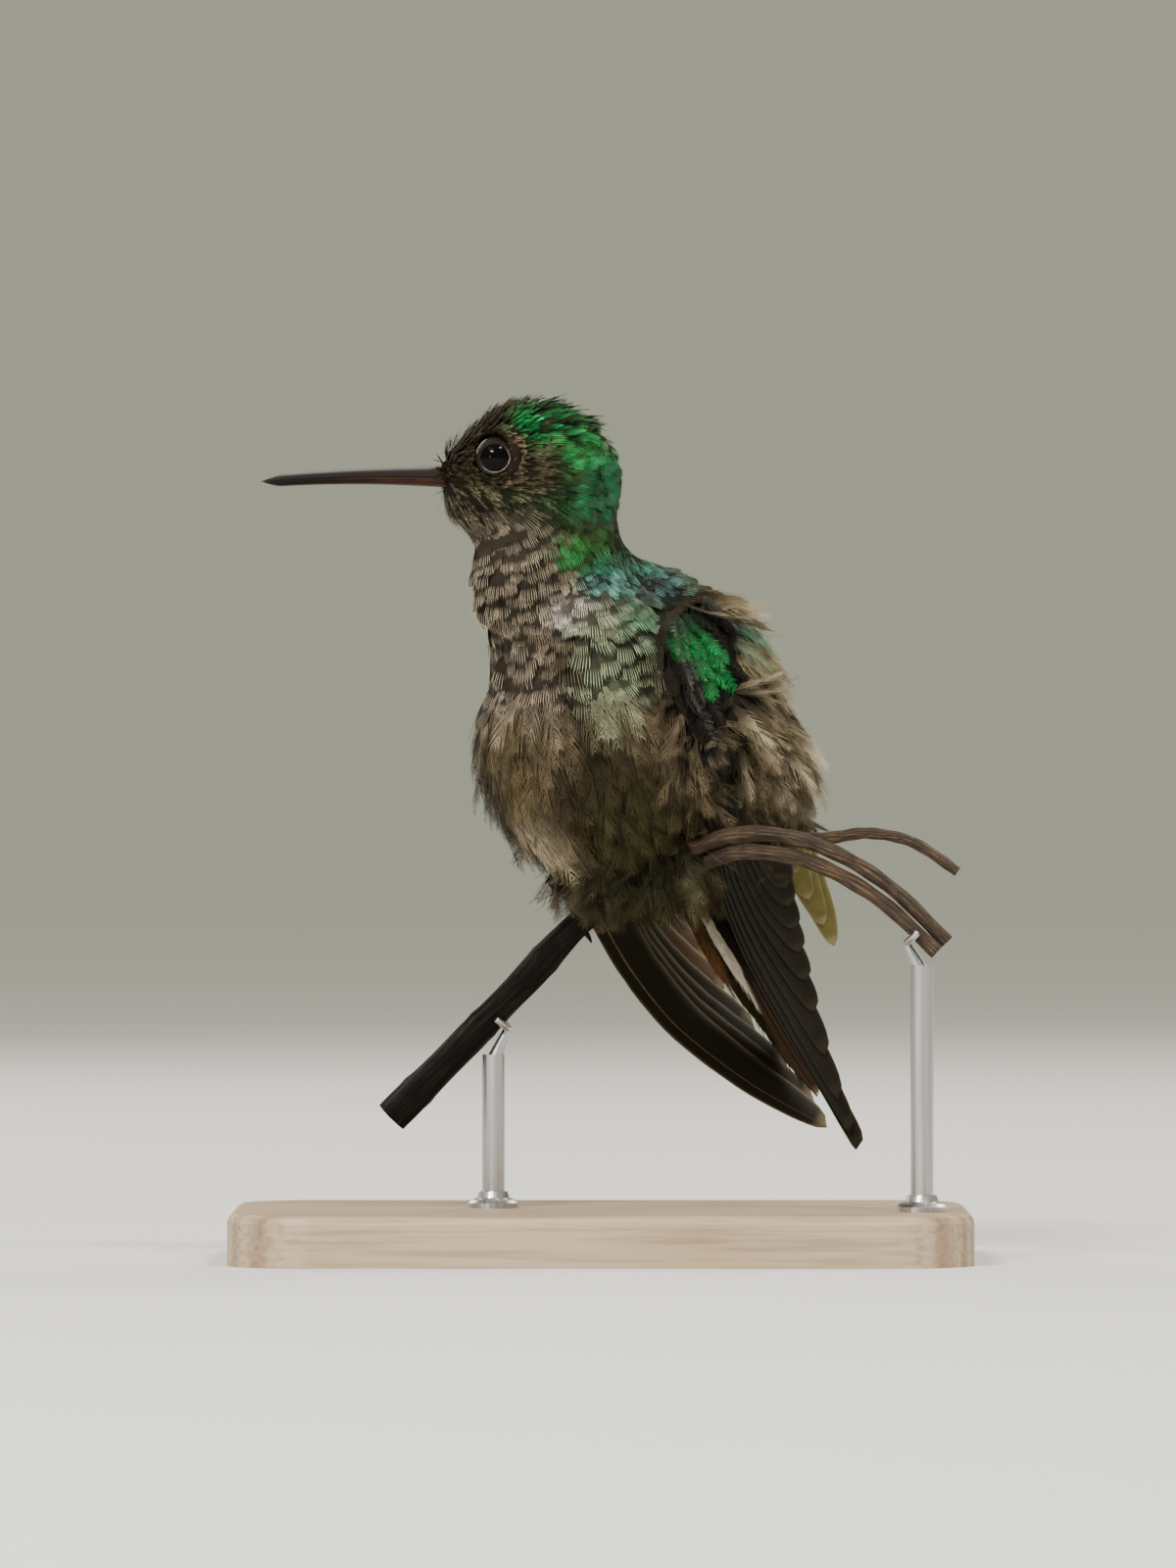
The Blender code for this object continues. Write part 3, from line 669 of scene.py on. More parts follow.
def painted(colour, gloss, p, patches, softness=0.45):
    """Adds patches to the colours of points, seen along Y."""
    wander = value_noise(p, 1.6, 3)[:, None] * 0.25
    for (x, z), (wide, high), paint, shine in patches:
        away = np.hypot((p[:, 0] - x) / wide, (p[:, 2] - z) / high)[:, None]
        share = smooth(1 + softness, 1 - softness, away + wander)
        colour, gloss = blend(colour, paint, share), blend(gloss, shine, share[:, 0])
    return colour, gloss


def mirrored(p):
    """Points brought to the side that the patches are given for: across the body's
    middle plane below the neck, and across the head's above it."""
    q = to_body(p)
    q[:, 1] = np.abs(q[:, 1])
    by_head = p.copy()
    by_head[:, 1] = HEAD_MIDDLE_Y - np.abs(p[:, 1] - HEAD_MIDDLE_Y)
    return blend(from_body(q), by_head, smooth(61.0, 67.0, p[:, 2])[:, None])


def markings(p):
    """Tip colour and gloss of the coat at world points. The zones' limits are in
    millimetres, of the world for p and of the body's frame for q."""
    q, shown = to_body(p), mirrored(p)
    back = smooth(-0.5, -4.5, q[:, 0])[:, None]
    mottle = value_noise(p, 2.2, 5)[:, None] * 0.5 + 0.5
    body = blend(TAUPE, GREY_BROWN, mottle * 0.45)
    body = blend(body, PINK_GREY, smooth(57.0, 64.0, p[:, 2])[:, None])
    body, gloss = painted(body, np.zeros(len(p)), shown, BREAST_PATCHES)
    upper = smooth(48.0, 60.0, p[:, 2])[:, None]
    middle = smooth(11.0, 5.0, np.abs(q[:, 1]))[:, None]
    body = blend(body, blend(MANTLE_BROWN, BRONZE_GREEN, upper * middle * 0.9), back)
    gloss = blend(gloss, 0.55 * upper[:, 0] + 0.1, back[:, 0])
    body, gloss = painted(body, gloss, shown, NECK_PATCHES)
    head, shine = head_markings(p)
    jaw = smooth(-4.0, -9.0, p[:, 0]) * 1.2
    up = smooth(69.5, 71.5, p[:, 2] - jaw + value_noise(p, 1.5, 9) * 0.8)
    return blend(body, head, up[:, None]), blend(gloss, shine, up)


def head_markings(p):
    """The same on the head: olive cheek, pale chin, patches, brown rim and buff lid."""
    x, z = p[:, :1], p[:, 2:]
    cheek = smooth(-5.5, -8.5, x) * smooth(78.0, 76.2, z)
    chin = smooth(73.0, 71.0, z - (x + 9.0) * 0.22) * smooth(-4.0, -7.0, x)
    colour = blend(blend(DARK_BROWN, OLIVE, cheek), np.array(PINK_GREY) * 0.8, chin)
    colour, gloss = painted(colour, np.zeros(len(p)), p, HEAD_PATCHES)
    from_middle = np.hypot(x + 5.2, (z - 76.4) * 1.02)[:, 0]
    edge = smooth(6.9, 8.0, from_middle + value_noise(p, 1.2, 41) * 0.4)[:, None]
    edge = edge * smooth(73.0, 75.0, z) * smooth(-9.0, -6.0, x)
    colour, gloss = blend(colour, RIM_BROWN, edge * 0.85), gloss * (1 - edge[:, 0])
    for side in SIDES:
        away = from_eye(p, side)[1][:, None]
        rear = smooth(0.2, 1.6, x - EYE_X) * smooth(3.9, 2.9, away)
        colour, gloss = blend(colour, LID_BUFF, rear * 0.8), gloss * (1 - rear[:, 0])
    return colour, gloss


# ------------------------------------------------------------- feather shapes


def outline(s, point):
    """Half width of a feather at share s of its length; point 0 is round, 1 sharp."""
    body = np.sin(np.pi * np.clip(s, 0, 1) ** (0.85 + 0.1 * point)) ** (0.62 + 0.35 * point)
    return body * blend(1.0, 1.0 - s * 0.35, point)


class Ribbons:
    """Points (across, along, lift), tones and faces of thin tapered ribbons."""

    def __init__(self):
        self.points, self.tones, self.faces = [], [], []

    def add(self, line, widths, tone, rise):
        """A ribbon along line, which ends in a single point."""
        way = unit(np.gradient(line, axis=0))
        side = np.stack([-way[:, 1], way[:, 0]], axis=1)
        start, last = len(self.points), len(line) - 1
        for k, (spot, wide) in enumerate(zip(line, widths)):
            for sign in (0,) if k == last else (-1, 1):
                x, y = spot + side[k] * wide * sign
                self.points.append((x, y, rise[k]))
                self.tones.append(tone[k])
        for a in range(start, start + 2 * last - 2, 2):
            self.faces += [(a, a + 1, a + 3), (a, a + 3, a + 2)]
        a = start + 2 * last - 2
        self.faces.append((a, a + 1, a + 2))

    def arrays(self):
        return np.array(self.points), np.array(self.tones), np.array(self.faces)


BARBS_FROM, BARBS_TO = 0.16, 0.96  # along the feather


def feather_shape(rng, barbs, segments, free, splay, slim, point, core, dark_part):
    """One feather: a dark inner vane and barbs that come free towards the edge.

    Points are (across, along, lift) in half widths, lengths and half widths.
    tone runs from 0 at the base to 1 at each barb's tip."""
    ribbons = Ribbons()
    inner = np.linspace(0.0, core, 5)
    wide = outline(inner, point) * (1 - free) + 0.05
    centre = np.stack([inner * 0, inner], axis=1)
    ribbons.add(centre, wide, 0.8 * smooth(dark_part, 1.0, inner), inner * 0 - 0.06)
    reach = np.linspace(0, 1, segments + 1)
    gap = (BARBS_TO - BARBS_FROM) / barbs
    for side in (-1, 1):
        for k in range(barbs):
            s0 = BARBS_FROM + gap * (k + rng.uniform(-0.25, 0.25))
            s1 = min(s0 + splay * rng.uniform(0.75, 1.2), 1.0 + 0.04 * rng.uniform(-1, 1))
            edge = outline(blend(s0, s1, 0.6), point) * rng.uniform(0.75, 1.12)
            bow = rng.uniform(-0.05, 0.12)
            x = side * edge * (reach + bow * np.sin(np.pi * reach))
            y = s0 + (s1 - s0) * reach**1.25
            width = 1.6 * slim * gap * (1 - 0.65 * reach)
            rise = 0.10 * rng.uniform(-1, 1) * reach + 0.03 * rng.uniform(0, 1)
            tone = rng.uniform(0.72, 1.0) * smooth(dark_part, 0.92, y + 0.12 * reach)
            ribbons.add(np.stack([x, y], axis=1), width, tone, rise)
    return ribbons.arrays()


def fringe_shape(rng, lines, start, slim, fan):
    """A broad dark feather whose end is a comb of pale lines beside each other."""
    ribbons = Ribbons()
    inner = np.array((0.0, 0.2, 0.4, 0.6, 0.74, 0.84, 0.89))
    wide = 0.88 * np.sqrt((1 - ((inner - 0.45) / 0.45).clip(-1, 1) ** 4).clip(0.05, 1))
    ribbons.add(np.stack([inner * 0, inner], axis=1), wide, inner * 0, inner * 0 - 0.08)
    reach = np.linspace(0, 1, 4)
    for x in np.linspace(-0.94, 0.94, lines):
        x = x + rng.uniform(-0.3, 0.3) / lines
        end = 1.06 - 0.18 * x * x + rng.uniform(-0.06, 0.04)
        line = np.stack([x * blend(1 - fan, 1.0, reach**0.7), blend(start, end, reach)], axis=1)
        tone = rng.uniform(0.75, 1.0) * smooth(-0.05, 0.55, reach)
        width = slim / lines * (1 - 0.45 * reach)
        ribbons.add(line, width, tone, 0.05 * reach + rng.uniform(-0.02, 0.02))
    return ribbons.arrays()


STYLES = {
    # barbs a side, segments, free share, splay, slimness, point, inner vane's length,
    # and the share of its length that stays dark
    "plush": (4, 2, 0.45, 0.40, 0.30, 0.75, 0.70, 0.25),
    "hair": (3, 3, 0.80, 0.55, 0.060, 0.90, 0.50, 0.10),
    "lax": (12, 3, 0.75, 0.50, 0.15, 0.25, 0.50, 0.25),
    "plume": (17, 3, 0.45, 0.26, 0.24, 0.60, 0.78, 0.35),
    "shag": (20, 3, 0.60, 0.34, 0.16, 0.40, 0.70, 0.20),
    "web": (24, 2, 0.22, 0.18, 0.34, 0.50, 0.88, 0.05),
    "covert": (20, 2, 0.08, 0.14, 0.46, 0.15, 0.95, 0.20),
}
FRINGES = {
    # lines, where they start along the feather, slimness, how much they fan out
    "scale": (7, 0.30, 0.42, 0.25),
    "comb": (8, 0.50, 0.30, 0.25),
}
VARIANTS = 6  # shapes of each style
TWIST_SPREAD = 0.16  # of a feather round its own length, in radians


def feathers_at(style, roots, normals, lies, lengths, halves, lift, curl, rng, camber):
    """For every variant of a style: which feathers have it, their points as (feathers,
    points, 3), and its tones, faces, places across and places along."""
    count = len(roots)
    across = unit(np.cross(lies, normals))
    twist = rng.normal(0, TWIST_SPREAD, count)[:, None]
    side = unit(across * np.cos(twist) + normals * np.sin(twist))
    out = unit(np.cross(side, lies))
    pick = rng.integers(0, VARIANTS, count)
    made = []
    for variant in range(VARIANTS):
        if style in FRINGES:
            shape, tone, faces = fringe_shape(rng, *FRINGES[style])
        else:
            shape, tone, faces = feather_shape(rng, *STYLES[style])
        who = np.flatnonzero(pick == variant)
        if not len(who):
            continue
        x, s, h = shape.T
        bend = curl[who, None] * s
        middle = lift[who, None] + bend / 2
        chord = s * np.sinc(bend / (2 * math.pi))
        run, rise = (chord * np.cos(middle))[..., None], (chord * np.sin(middle))[..., None]
        droop = (h - camber * x**2)[:, None]
        lie, up, wide = lies[who, None], out[who, None], side[who, None] * x[:, None]
        body = roots[who, None] + lengths[who, None, None] * (lie * run + up * rise)
        body = body + halves[who, None, None] * (wide + up * droop)
        made.append((who, body, tone, faces, x, s))
    return made


class Coat:
    """Gathers feathers and makes them pieces of under 200,000 triangles."""

    LIMIT = 190000

    def __init__(self, name, looks, slot):
        self.name, self.looks, self.slot = name, looks, slot
        self.rows, self.size, self.number = [], 0, 0

    def add(self, points, faces, lie, *paint):
        """All feathers of one variant, each array with a row for every feather."""
        room = max(1, self.LIMIT // len(faces))
        for first in range(0, len(points), room):
            part = slice(first, first + room)
            total = len(points[part]) * len(faces)
            if self.size + total > self.LIMIT:
                self.close()
            self.rows.append((points[part], faces, lie, *(values[part] for values in paint)))
            self.size += total

    def close(self):
        if not self.rows:
            return
        start, flat = 0, []
        for points, faces, lie, colour, gloss, bake in self.rows:
            many, each = points.shape[:2]
            faces = faces + start + np.arange(many)[:, None, None] * each
            points, faces, colour = (a.reshape(-1, 3) for a in (points, faces, colour))
            lie, bake = np.tile(lie, (many, 1)), bake.reshape(-1, 2)
            flat.append((points, faces, lie, colour, gloss.ravel(), bake))
            start += many * each
        points, faces, lie, *paint = (np.concatenate(column) for column in zip(*flat))
        self.number += 1
        name = f"coat_{self.name}_{self.number}"
        show(mesh_from(name, (points, faces, lie), self.looks, *paint), self.slot)
        self.rows, self.size = [], 0


FEATHER_BAKE = 0.003  # size of one feather on the skin's unwrap
TONE_SPREAD = 0.12


def grow(coat, style, roots, normals, lies, sizes, looks, rng, camber=0.16):
    """Adds one kind of feather at roots. sizes holds length, half width, lift and
    curl; looks holds the tip's colour, the base's colour and the gloss."""
    tip, base, gloss = looks
    patch = bake_place(roots)
    for who, body, tone, faces, x, s in feathers_at(
        style, roots, normals, lies, *sizes, rng, camber
    ):
        strength = rng.normal(1.0, TONE_SPREAD, (len(who), len(tone), 1)).clip(0.6, 1.5)
        colour = blend(base[who, None], tip[who, None], tone[None, :, None]) * strength
        shine = gloss[who, None] * smooth(0.12, 0.5, tone)[None, :]
        own = np.stack([x * 0.5 + 0.5, s], axis=1).clip(0, 1)
        bake = patch[who, None] + FEATHER_BAKE * (own[None] - 0.5)
        coat.add(body, faces, own, colour.clip(0, 1), shine, bake)


# ------------------------------------------------------------ roots and the lie


def scattered(points, normals, quads, rng):
    """Roots and normals spread over a quad mesh at the spacing of their kinds."""
    tris = np.concatenate([quads[:, [0, 1, 2]], quads[:, [0, 2, 3]]])
    a, b, c = (points[tris[:, k]] for k in range(3))
    area = np.linalg.norm(np.cross(b - a, c - a), axis=1)
    face = rng.choice(len(tris), ROOT_TRIES, p=area / area.sum())
    u, v = rng.random(ROOT_TRIES), rng.random(ROOT_TRIES)
    flip = u + v > 1
    u, v = np.where(flip, 1 - u, u), np.where(flip, 1 - v, v)
    weights = np.stack([1 - u - v, u, v], axis=1)
    spot = np.einsum("nk,nkd->nd", weights, points[tris[face]])
    way = unit(np.einsum("nk,nkd->nd", weights, normals[tris[face]]))
    kept = thinned(spot, spacing_at(spot))
    return spot[kept], way[kept]


def thinned(spots, space):
    """Indices of the spots that keep their spacing from others of the same spacing,
    taken in the order given."""
    keys = np.floor(spots / space.max()).astype(int).tolist()
    steps = list(itertools.product((-1, 0, 1), repeat=3))
    filled, kept = {}, []
    for n, (spot, (i, j, k), gap) in enumerate(zip(spots.tolist(), keys, space.tolist())):
        cells = (filled.get((gap, i + a, j + b, k + c), ()) for a, b, c in steps)
        if all(math.dist(spot, other) >= gap for cell in cells for other in cell):
            filled.setdefault((gap, i, j, k), []).append(spot)
            kept.append(n)
    return np.array(kept, int)


FROM_BILL = np.array((-15.5, HEAD_MIDDLE_Y, 77.0))  # where the head's lie starts
TAILWARD = -UP * 0.75 - SKYWARD * 0.55


def lie_at(p, normals, rng, stray):
    """Direction that the coat lies in at points on the skin."""
    q, z = to_body(p), p[:, 2:]
    outward = LEFT * np.sign(q[:, 1:2]) * smooth(3.0, 12.0, np.abs(q[:, 1:2]))
    rearward = -FORWARD * smooth(2.0, -4.0, q[:, :1])
    swept = blend(0.35, 0.80, smooth(44.0, 58.0, z))
    body = unit(TAILWARD + outward * 0.35 * smooth(60.0, 50.0, z) + rearward * swept)
    from_bill = unit(p - FROM_BILL)
    down = unit(from_bill * 0.35 + np.array((0.05, 0.0, -1.0)))
    neck = smooth(75.0, 70.0, z) * smooth(3.0, -6.0, p[:, :1])
    way = blend(body, unit(blend(from_bill, down, neck)), smooth(64.0, 70.0, z))
    return square_to(way + rng.normal(0, 1, p.shape) * stray, normals)


ARM_ROOM = 0.4

COVERTS_FROM_X = -7.0  # further forward the breast hides the far wing
COVERT_TOP, COVERT_WAY = np.array((5.9, 64.3)), np.array((5.5, -7.9))  # seen along Y
COVERT_HALF = 1.2  # of the row of green coverts that shows
ROW_PERIOD = 1.75  # of the throat's and breast's slanting rows
ROW_WAY = np.array((-0.50, 0.0, 0.87))
ROW_PULL = 0.70  # how far roots are drawn to the middle of their row


def in_rows(p, normals):
    """Roots drawn together into slanting rows with dark gaps between."""
    wave = dot(p, ROW_WAY) + value_noise(p, 6.0, 77) * 0.9
    off = wave - np.round(wave / ROW_PERIOD) * ROW_PERIOD
    way = ROW_WAY - normals * dot(normals, ROW_WAY)[:, None]
    return p - way * (off * ROW_PULL)[:, None]


KINDS = {
    # spacing, length, half width, lift and curl in degrees, ruffle, stray, style
    "face": (0.27, 1.10, 0.24, 26, -30, 0.4, 0.20, "plush"),
    "brow": (0.31, 1.90, 0.34, 34, -20, 0.4, 0.18, "plush"),
    "cheek": (0.23, 1.9, 0.30, 14, -22, 0.4, 0.16, "hair"),
    "crown": (0.50, 3.0, 0.56, 19, -14, 0.5, 0.16, "plume"),
    "nape": (0.56, 1.9, 0.62, 10, -16, 0.15, 0.12, "scale"),
    "throat": (0.84, 2.7, 0.84, 18, -22, 0.2, 0.08, "comb"),
    "breast": (0.92, 3.3, 0.95, 17, -22, 0.3, 0.12, "comb"),
    "belly": (0.74, 5.2, 1.30, 16, -26, 0.4, 0.18, "lax"),
    "flank": (0.78, 5.6, 1.25, 18, -18, 0.4, 0.22, "lax"),
    "mantle": (0.74, 3.0, 0.90, 12, -18, 0.2, 0.12, "scale"),
    "scapular": (0.74, 6.4, 1.05, 10, -18, 0.2, 0.08, "shag"),
    "back": (0.84, 6.0, 1.10, 15, -22, 0.3, 0.12, "shag"),
    "vent": (0.58, 3.8, 0.90, 14, -20, 0.4, 0.22, "lax"),
}
KIND_NAMES = tuple(KINDS)
ROOT_TRIES = 150000


def kind_at(p):
    """Index in KIND_NAMES of the feather that grows at each point. Limits are in
    millimetres; ahead and side are in the body's frame."""
    q = to_body(p)
    wander = value_noise(p, 1.3, 11)
    x, z = p[:, 0] + wander * 0.6, p[:, 2] + wander
    ahead, side, head = q[:, 0], np.abs(q[:, 1]), z > 71.0
    kind = np.full(len(p), KIND_NAMES.index("belly"))
    for name, where in (  # each paints over those before it
        ("flank", (side > 8.0) & (ahead > -5.0) & (z < 58)),
        ("breast", z > 55.0 + value_noise(p, 2.6, 13) * 2.4),
        ("back", ahead < -3.5 + wander),
        ("scapular", (ahead < -2.5) & (z > 51.0) & (side > 4.0)),
        ("mantle", (ahead < -2.5) & (z > 60.0) & (side < 7.0)),
        ("vent", z < 39.3),
        ("throat", (z > 63.0) & (ahead > -2.5)),
        ("nape", (z > 65.0) & (x > -3.5) & (ahead < 4.0)),
        ("nape", head),
        ("cheek", head & (x < -3.8) & (z < 78.8)),
        ("throat", head & (z < 72.5) & (x < -4.6)),
        ("crown", (z > 80.2) & (x < -2.0)),
        ("cheek", head & (x < -11.2) & (z < 76.0)),
        ("face", head & (x < -11.2) & (z >= 76.0)),
        ("brow", (z > 79.4 - smooth(-10.5, -13.0, x) * 2.2) & (x < -7.0)),
        ("face", from_eye(p, -1)[1] < 3.2),
        ("face", from_eye(p, 1)[1] < 3.2),
    ):
        kind[where] = KIND_NAMES.index(name)
    return kind


def spacing_at(p):
    return np.array([KINDS[name][0] for name in KIND_NAMES])[kind_at(p)]


def solid_tree(node):
    """Nearest-point search on one CAD node, in millimetres."""
    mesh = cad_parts[node].data
    faces = [tuple(f.vertices) for f in mesh.polygons]
    return BVHTree.FromPolygons([v.co / MM for v in mesh.vertices], faces)


ARM_TREES = [solid_tree(f"{wing}_arm") for wing in WINGS.values()]


def near_arms(p):
    """True on the wings' arms, which have coverts of their own."""
    away = [min(tree.find_nearest(Vector(spot))[3] for tree in ARM_TREES) for spot in p]
    return (np.array(away) < ARM_ROOM) & (p[:, 0] > COVERTS_FROM_X)


def from_coverts(p):
    """Distance from the line of the green coverts that show, seen along Y."""
    seen = mirrored(p)[:, [0, 2]] - COVERT_TOP
    share = (seen @ COVERT_WAY / (COVERT_WAY @ COVERT_WAY)).clip(0, 1)
    return np.linalg.norm(seen - share[:, None] * COVERT_WAY, axis=1)


def over_coverts(p, lies, length):
    """True for feathers that would lie over the folded wing's green coverts."""
    out = np.zeros(len(p), bool)
    for share in (0.3, 0.6, 0.95):
        spot = p + lies * (length * share)
        beside = np.abs(to_body(spot)[:, 1]) > 6.0
        out |= beside & (from_coverts(spot) < COVERT_HALF)
    return out


BILL_ROOM, BARE_BILL_TO_X = 1.05, -14.0  # round the bill's axis, and along it
COVERT_ROOM, LID_REACH = 0.2, 0.9


def bare(p):
    """True where no feather grows: eyes, bill and the coverts on the wings' arms."""
    out = near_arms(p) & (from_coverts(p) < COVERT_HALF + COVERT_ROOM)
    for side in SIDES:
        _way, reach, angle = from_eye(p, side)
        out |= (reach < EYE_RADIUS + LID_REACH) & (angle < EYE_OPENING + LID_ROOM)
    bill = np.hypot(p[:, 1] - BILL_ROOT[1], p[:, 2] - BILL_ROOT[2]) < BILL_ROOM
    return out | (bill & (p[:, 0] < BARE_BILL_TO_X))


GREEN_KINDS = ("face", "crown", "nape", "cheek", "brow")
OPEN_KINDS = ("breast", "belly", "flank", "scapular", "back", "mantle")  # beside coverts
CREASE_LIFT = math.radians(11)
SIZE_SPREAD, LIFT_SPREAD, CURL_SPREAD = 0.14, 0.2, 6.0  # share, share, degrees
MARKED_AT = 0.6  # the share of a feather's length where its tip colour is read


def planted(name, p, n, rng):
    """(roots, normals, lies, sizes, lifts, curls) of one kind's feathers."""
    _space, length, _half, lift, curl, ruffle, stray, _style = KINDS[name]
    if name in ("throat", "breast"):
        p = in_rows(p, n)
    count = len(p)
    size = rng.normal(1.0, SIZE_SPREAD, count).clip(0.6, 1.5)
    clump = value_noise(p, 2.4, 31)
    lifts = np.radians(lift * (1 + ruffle * clump + rng.normal(0, LIFT_SPREAD, count)))
    curls = np.radians(curl + rng.normal(0, CURL_SPREAD, count))
    lies = lie_at(p, n, rng, stray)
    if name == "nape":  # kept down where the head's rear meets the neck
        crease = smooth(69.0, 70.5, p[:, 2]) * smooth(75.5, 73.5, p[:, 2])
        lifts = lifts - CREASE_LIFT * crease * smooth(-0.5, 1.5, p[:, 0])
    plan = (p, n, lies, size, lifts, curls)
    if name in OPEN_KINDS:
        clear = ~over_coverts(p, lies, length)
        plan = [values[clear] for values in plan]
    return plan


def fringe_base(tip, pale, gloss, name):
    """Base colour of feathers that end in a comb of lines."""
    dark = blend(blend(tip * 0.06, DUSK, 0.5), tip * 0.2, gloss[:, None] * 0.9)
    dark = blend(dark, tip * 0.3, pale * 0.35)
    return np.maximum(dark, np.array(DARK_BROWN) * 0.5) if name == "nape" else dark


def coloured(name, p, lies, rng):
    """(tip colour, base colour, gloss) of one kind's feathers."""
    length, style, count = KINDS[name][1], KINDS[name][-1], len(p)
    tip, gloss = markings(p + lies * length * MARKED_AT)
    uneven = 0.34 if name in ("nape", "crown") else 0.13
    bright_one = rng.normal(1.0 - uneven / 3, uneven, (count, 1)).clip(0.3, 1.5)
    tip = (tip * bright_one).clip(0, 1)
    pale = smooth(0.45, 0.95, tip.mean(axis=1, keepdims=True))
    if style in FRINGES:
        dark = fringe_base(tip, pale, gloss, name)
    else:
        dark = blend(blend(tip * 0.16, DUSK, 0.6), tip, pale * 0.45)
    if name in ("belly", "flank"):
        dark = tip * blend(0.24, 0.50, smooth(49.0, 55.0, p[:, 2:]))
        streak = rng.normal(1.0, 0.10, (count, 1)).clip(0.6, 1.4)
        tip, dark = (tip * streak).clip(0, 1), dark * streak
    if name == "crown":
        tip = np.where(rng.random(count)[:, None] < 0.3, RIM_BROWN, tip)
    if name == "cheek":
        lined = rng.random(count)[:, None] < 0.36
        grey = 0.85 * smooth(-4.0, -8.0, p[:, :1])
        tip = np.where(lined, blend(tip * 1.7, CHEEK_LINES, grey), tip * 0.45)
    if name in ("scapular", "back"):
        streak = np.where(rng.random(count)[:, None] < 0.3, WEB_BROWN, WEB_PALE)
        # Painted shade: the streaks darken downwards into the shadow between the flank and the
        # wing.
        low = smooth(54.0, 45.0, p[:, 2:]) * 0.8
        tip = blend(tip, streak * bright_one * (1 - low), 0.75 * (1 - gloss[:, None]))
    return tip, dark, gloss


def grow_coat(points, normals, quads):
    rng = np.random.default_rng(SEEDS["coat"])
    spots, ways = scattered(points, normals, quads, rng)
    clear = ~bare(spots)
    spots, ways = spots[clear], ways[clear]
    kinds = kind_at(spots)
    soft = plumage("plumage_soft", sheen=0.03)
    bright = plumage("plumage_iridescent", rough=(0.72, 0.42))
    for index, name in enumerate(KIND_NAMES):
        who = kinds == index
        if not who.any():
            continue
        _space, length, half, *_angles, style = KINDS[name]
        look = bright if name in ("nape", "crown", "mantle") else soft
        slot = "plumage_green" if name in GREEN_KINDS else "plumage_grey"
        coat = Coat(name, look, slot)
        p, n, lies, size, lifts, curls = planted(name, spots[who], ways[who], rng)
        looks = coloured(name, p, lies, rng)
        if name == "belly":
            size = size * (1 + 0.25 * smooth(45.0, 40.0, p[:, 2]))
        grow(coat, style, p, n, lies, (length * size, half * size, lifts, curls), looks, rng)
        coat.close()


# ------------------------------------------------------------- flight feathers

WING_LINES = {
    1: (
        (-2.4, 11.2, 11.5),
        (-2.4, 12.8, 0.0),
        (-4.2, 6.7, -17.8),
        (-4.9, 6.6, -33.0),
        (-7.6, 5.8, -49.1),
    ),
    -1: (
        (-2.4, 11.2, 11.5),
        (-2.6, 12.4, 0.0),
        (-2.2, 10.0, -16.0),
        (-4.8, 7.8, -32.0),
        (-10.4, 2.6, -48.4),
    ),
}
WING_HALF_WIDTHS = {
    1: (2.6, 5.2, 5.8, 5.8, 5.5, 4.9, 3.6, 1.9, 0.7),
    -1: (2.6, 5.2, 5.8, 5.9, 5.8, 5.9, 5.5, 4.2, 1.8),
}
WING_CAMBER = 0.9
PRIMARY_TIPS = (0.55, 0.58, 0.62, 0.66, 0.71, 0.765, 0.83, 0.895, 0.955, 1.0)
PRIMARY_FROM = 0.20
SECONDARY_TIPS = (0.44, 0.49, 0.54, 0.59, 0.64, 0.68)
SECONDARY_FROM = 0.22
LAYER = 0.13  # distance between the layers of folded feathers


def wing_place(side, share, across, lift):
    """Points on the folded wing: share along it, across from -1 at its rear edge to 1
    at its front edge, and lift over its outer face."""
    mirror = np.array((1.0, side, 1.0))
    line, ahead, behind = (
        along(WING_LINES[side], share + step) * mirror for step in (0.0, 0.01, -0.01)
    )
    way = unit(ahead - behind)
    slant = side * 0.25 * (1 - share)
    chord = square_to(np.stack([np.ones_like(share), slant, share * 0], axis=-1), way)
    flat = unit(np.cross(way, chord))
    half = reading(WING_HALF_WIDTHS[side], share)
    height = side * (WING_CAMBER * (1 - across**2) + lift)
    return from_body(line + chord * (half * across)[..., None] + flat * height[..., None])


VANE_STATIONS, VANE_ROWS = 44, 7  # along a feather, and across each of its webs
VANE_HALF, VANE_ARCH, VANE_NOTCH = 0.05, 0.10, 0.05
SHAFT_RADIUS, SHAFT_TO, SHAFT_LIFT = 0.17, 0.97, 0.16


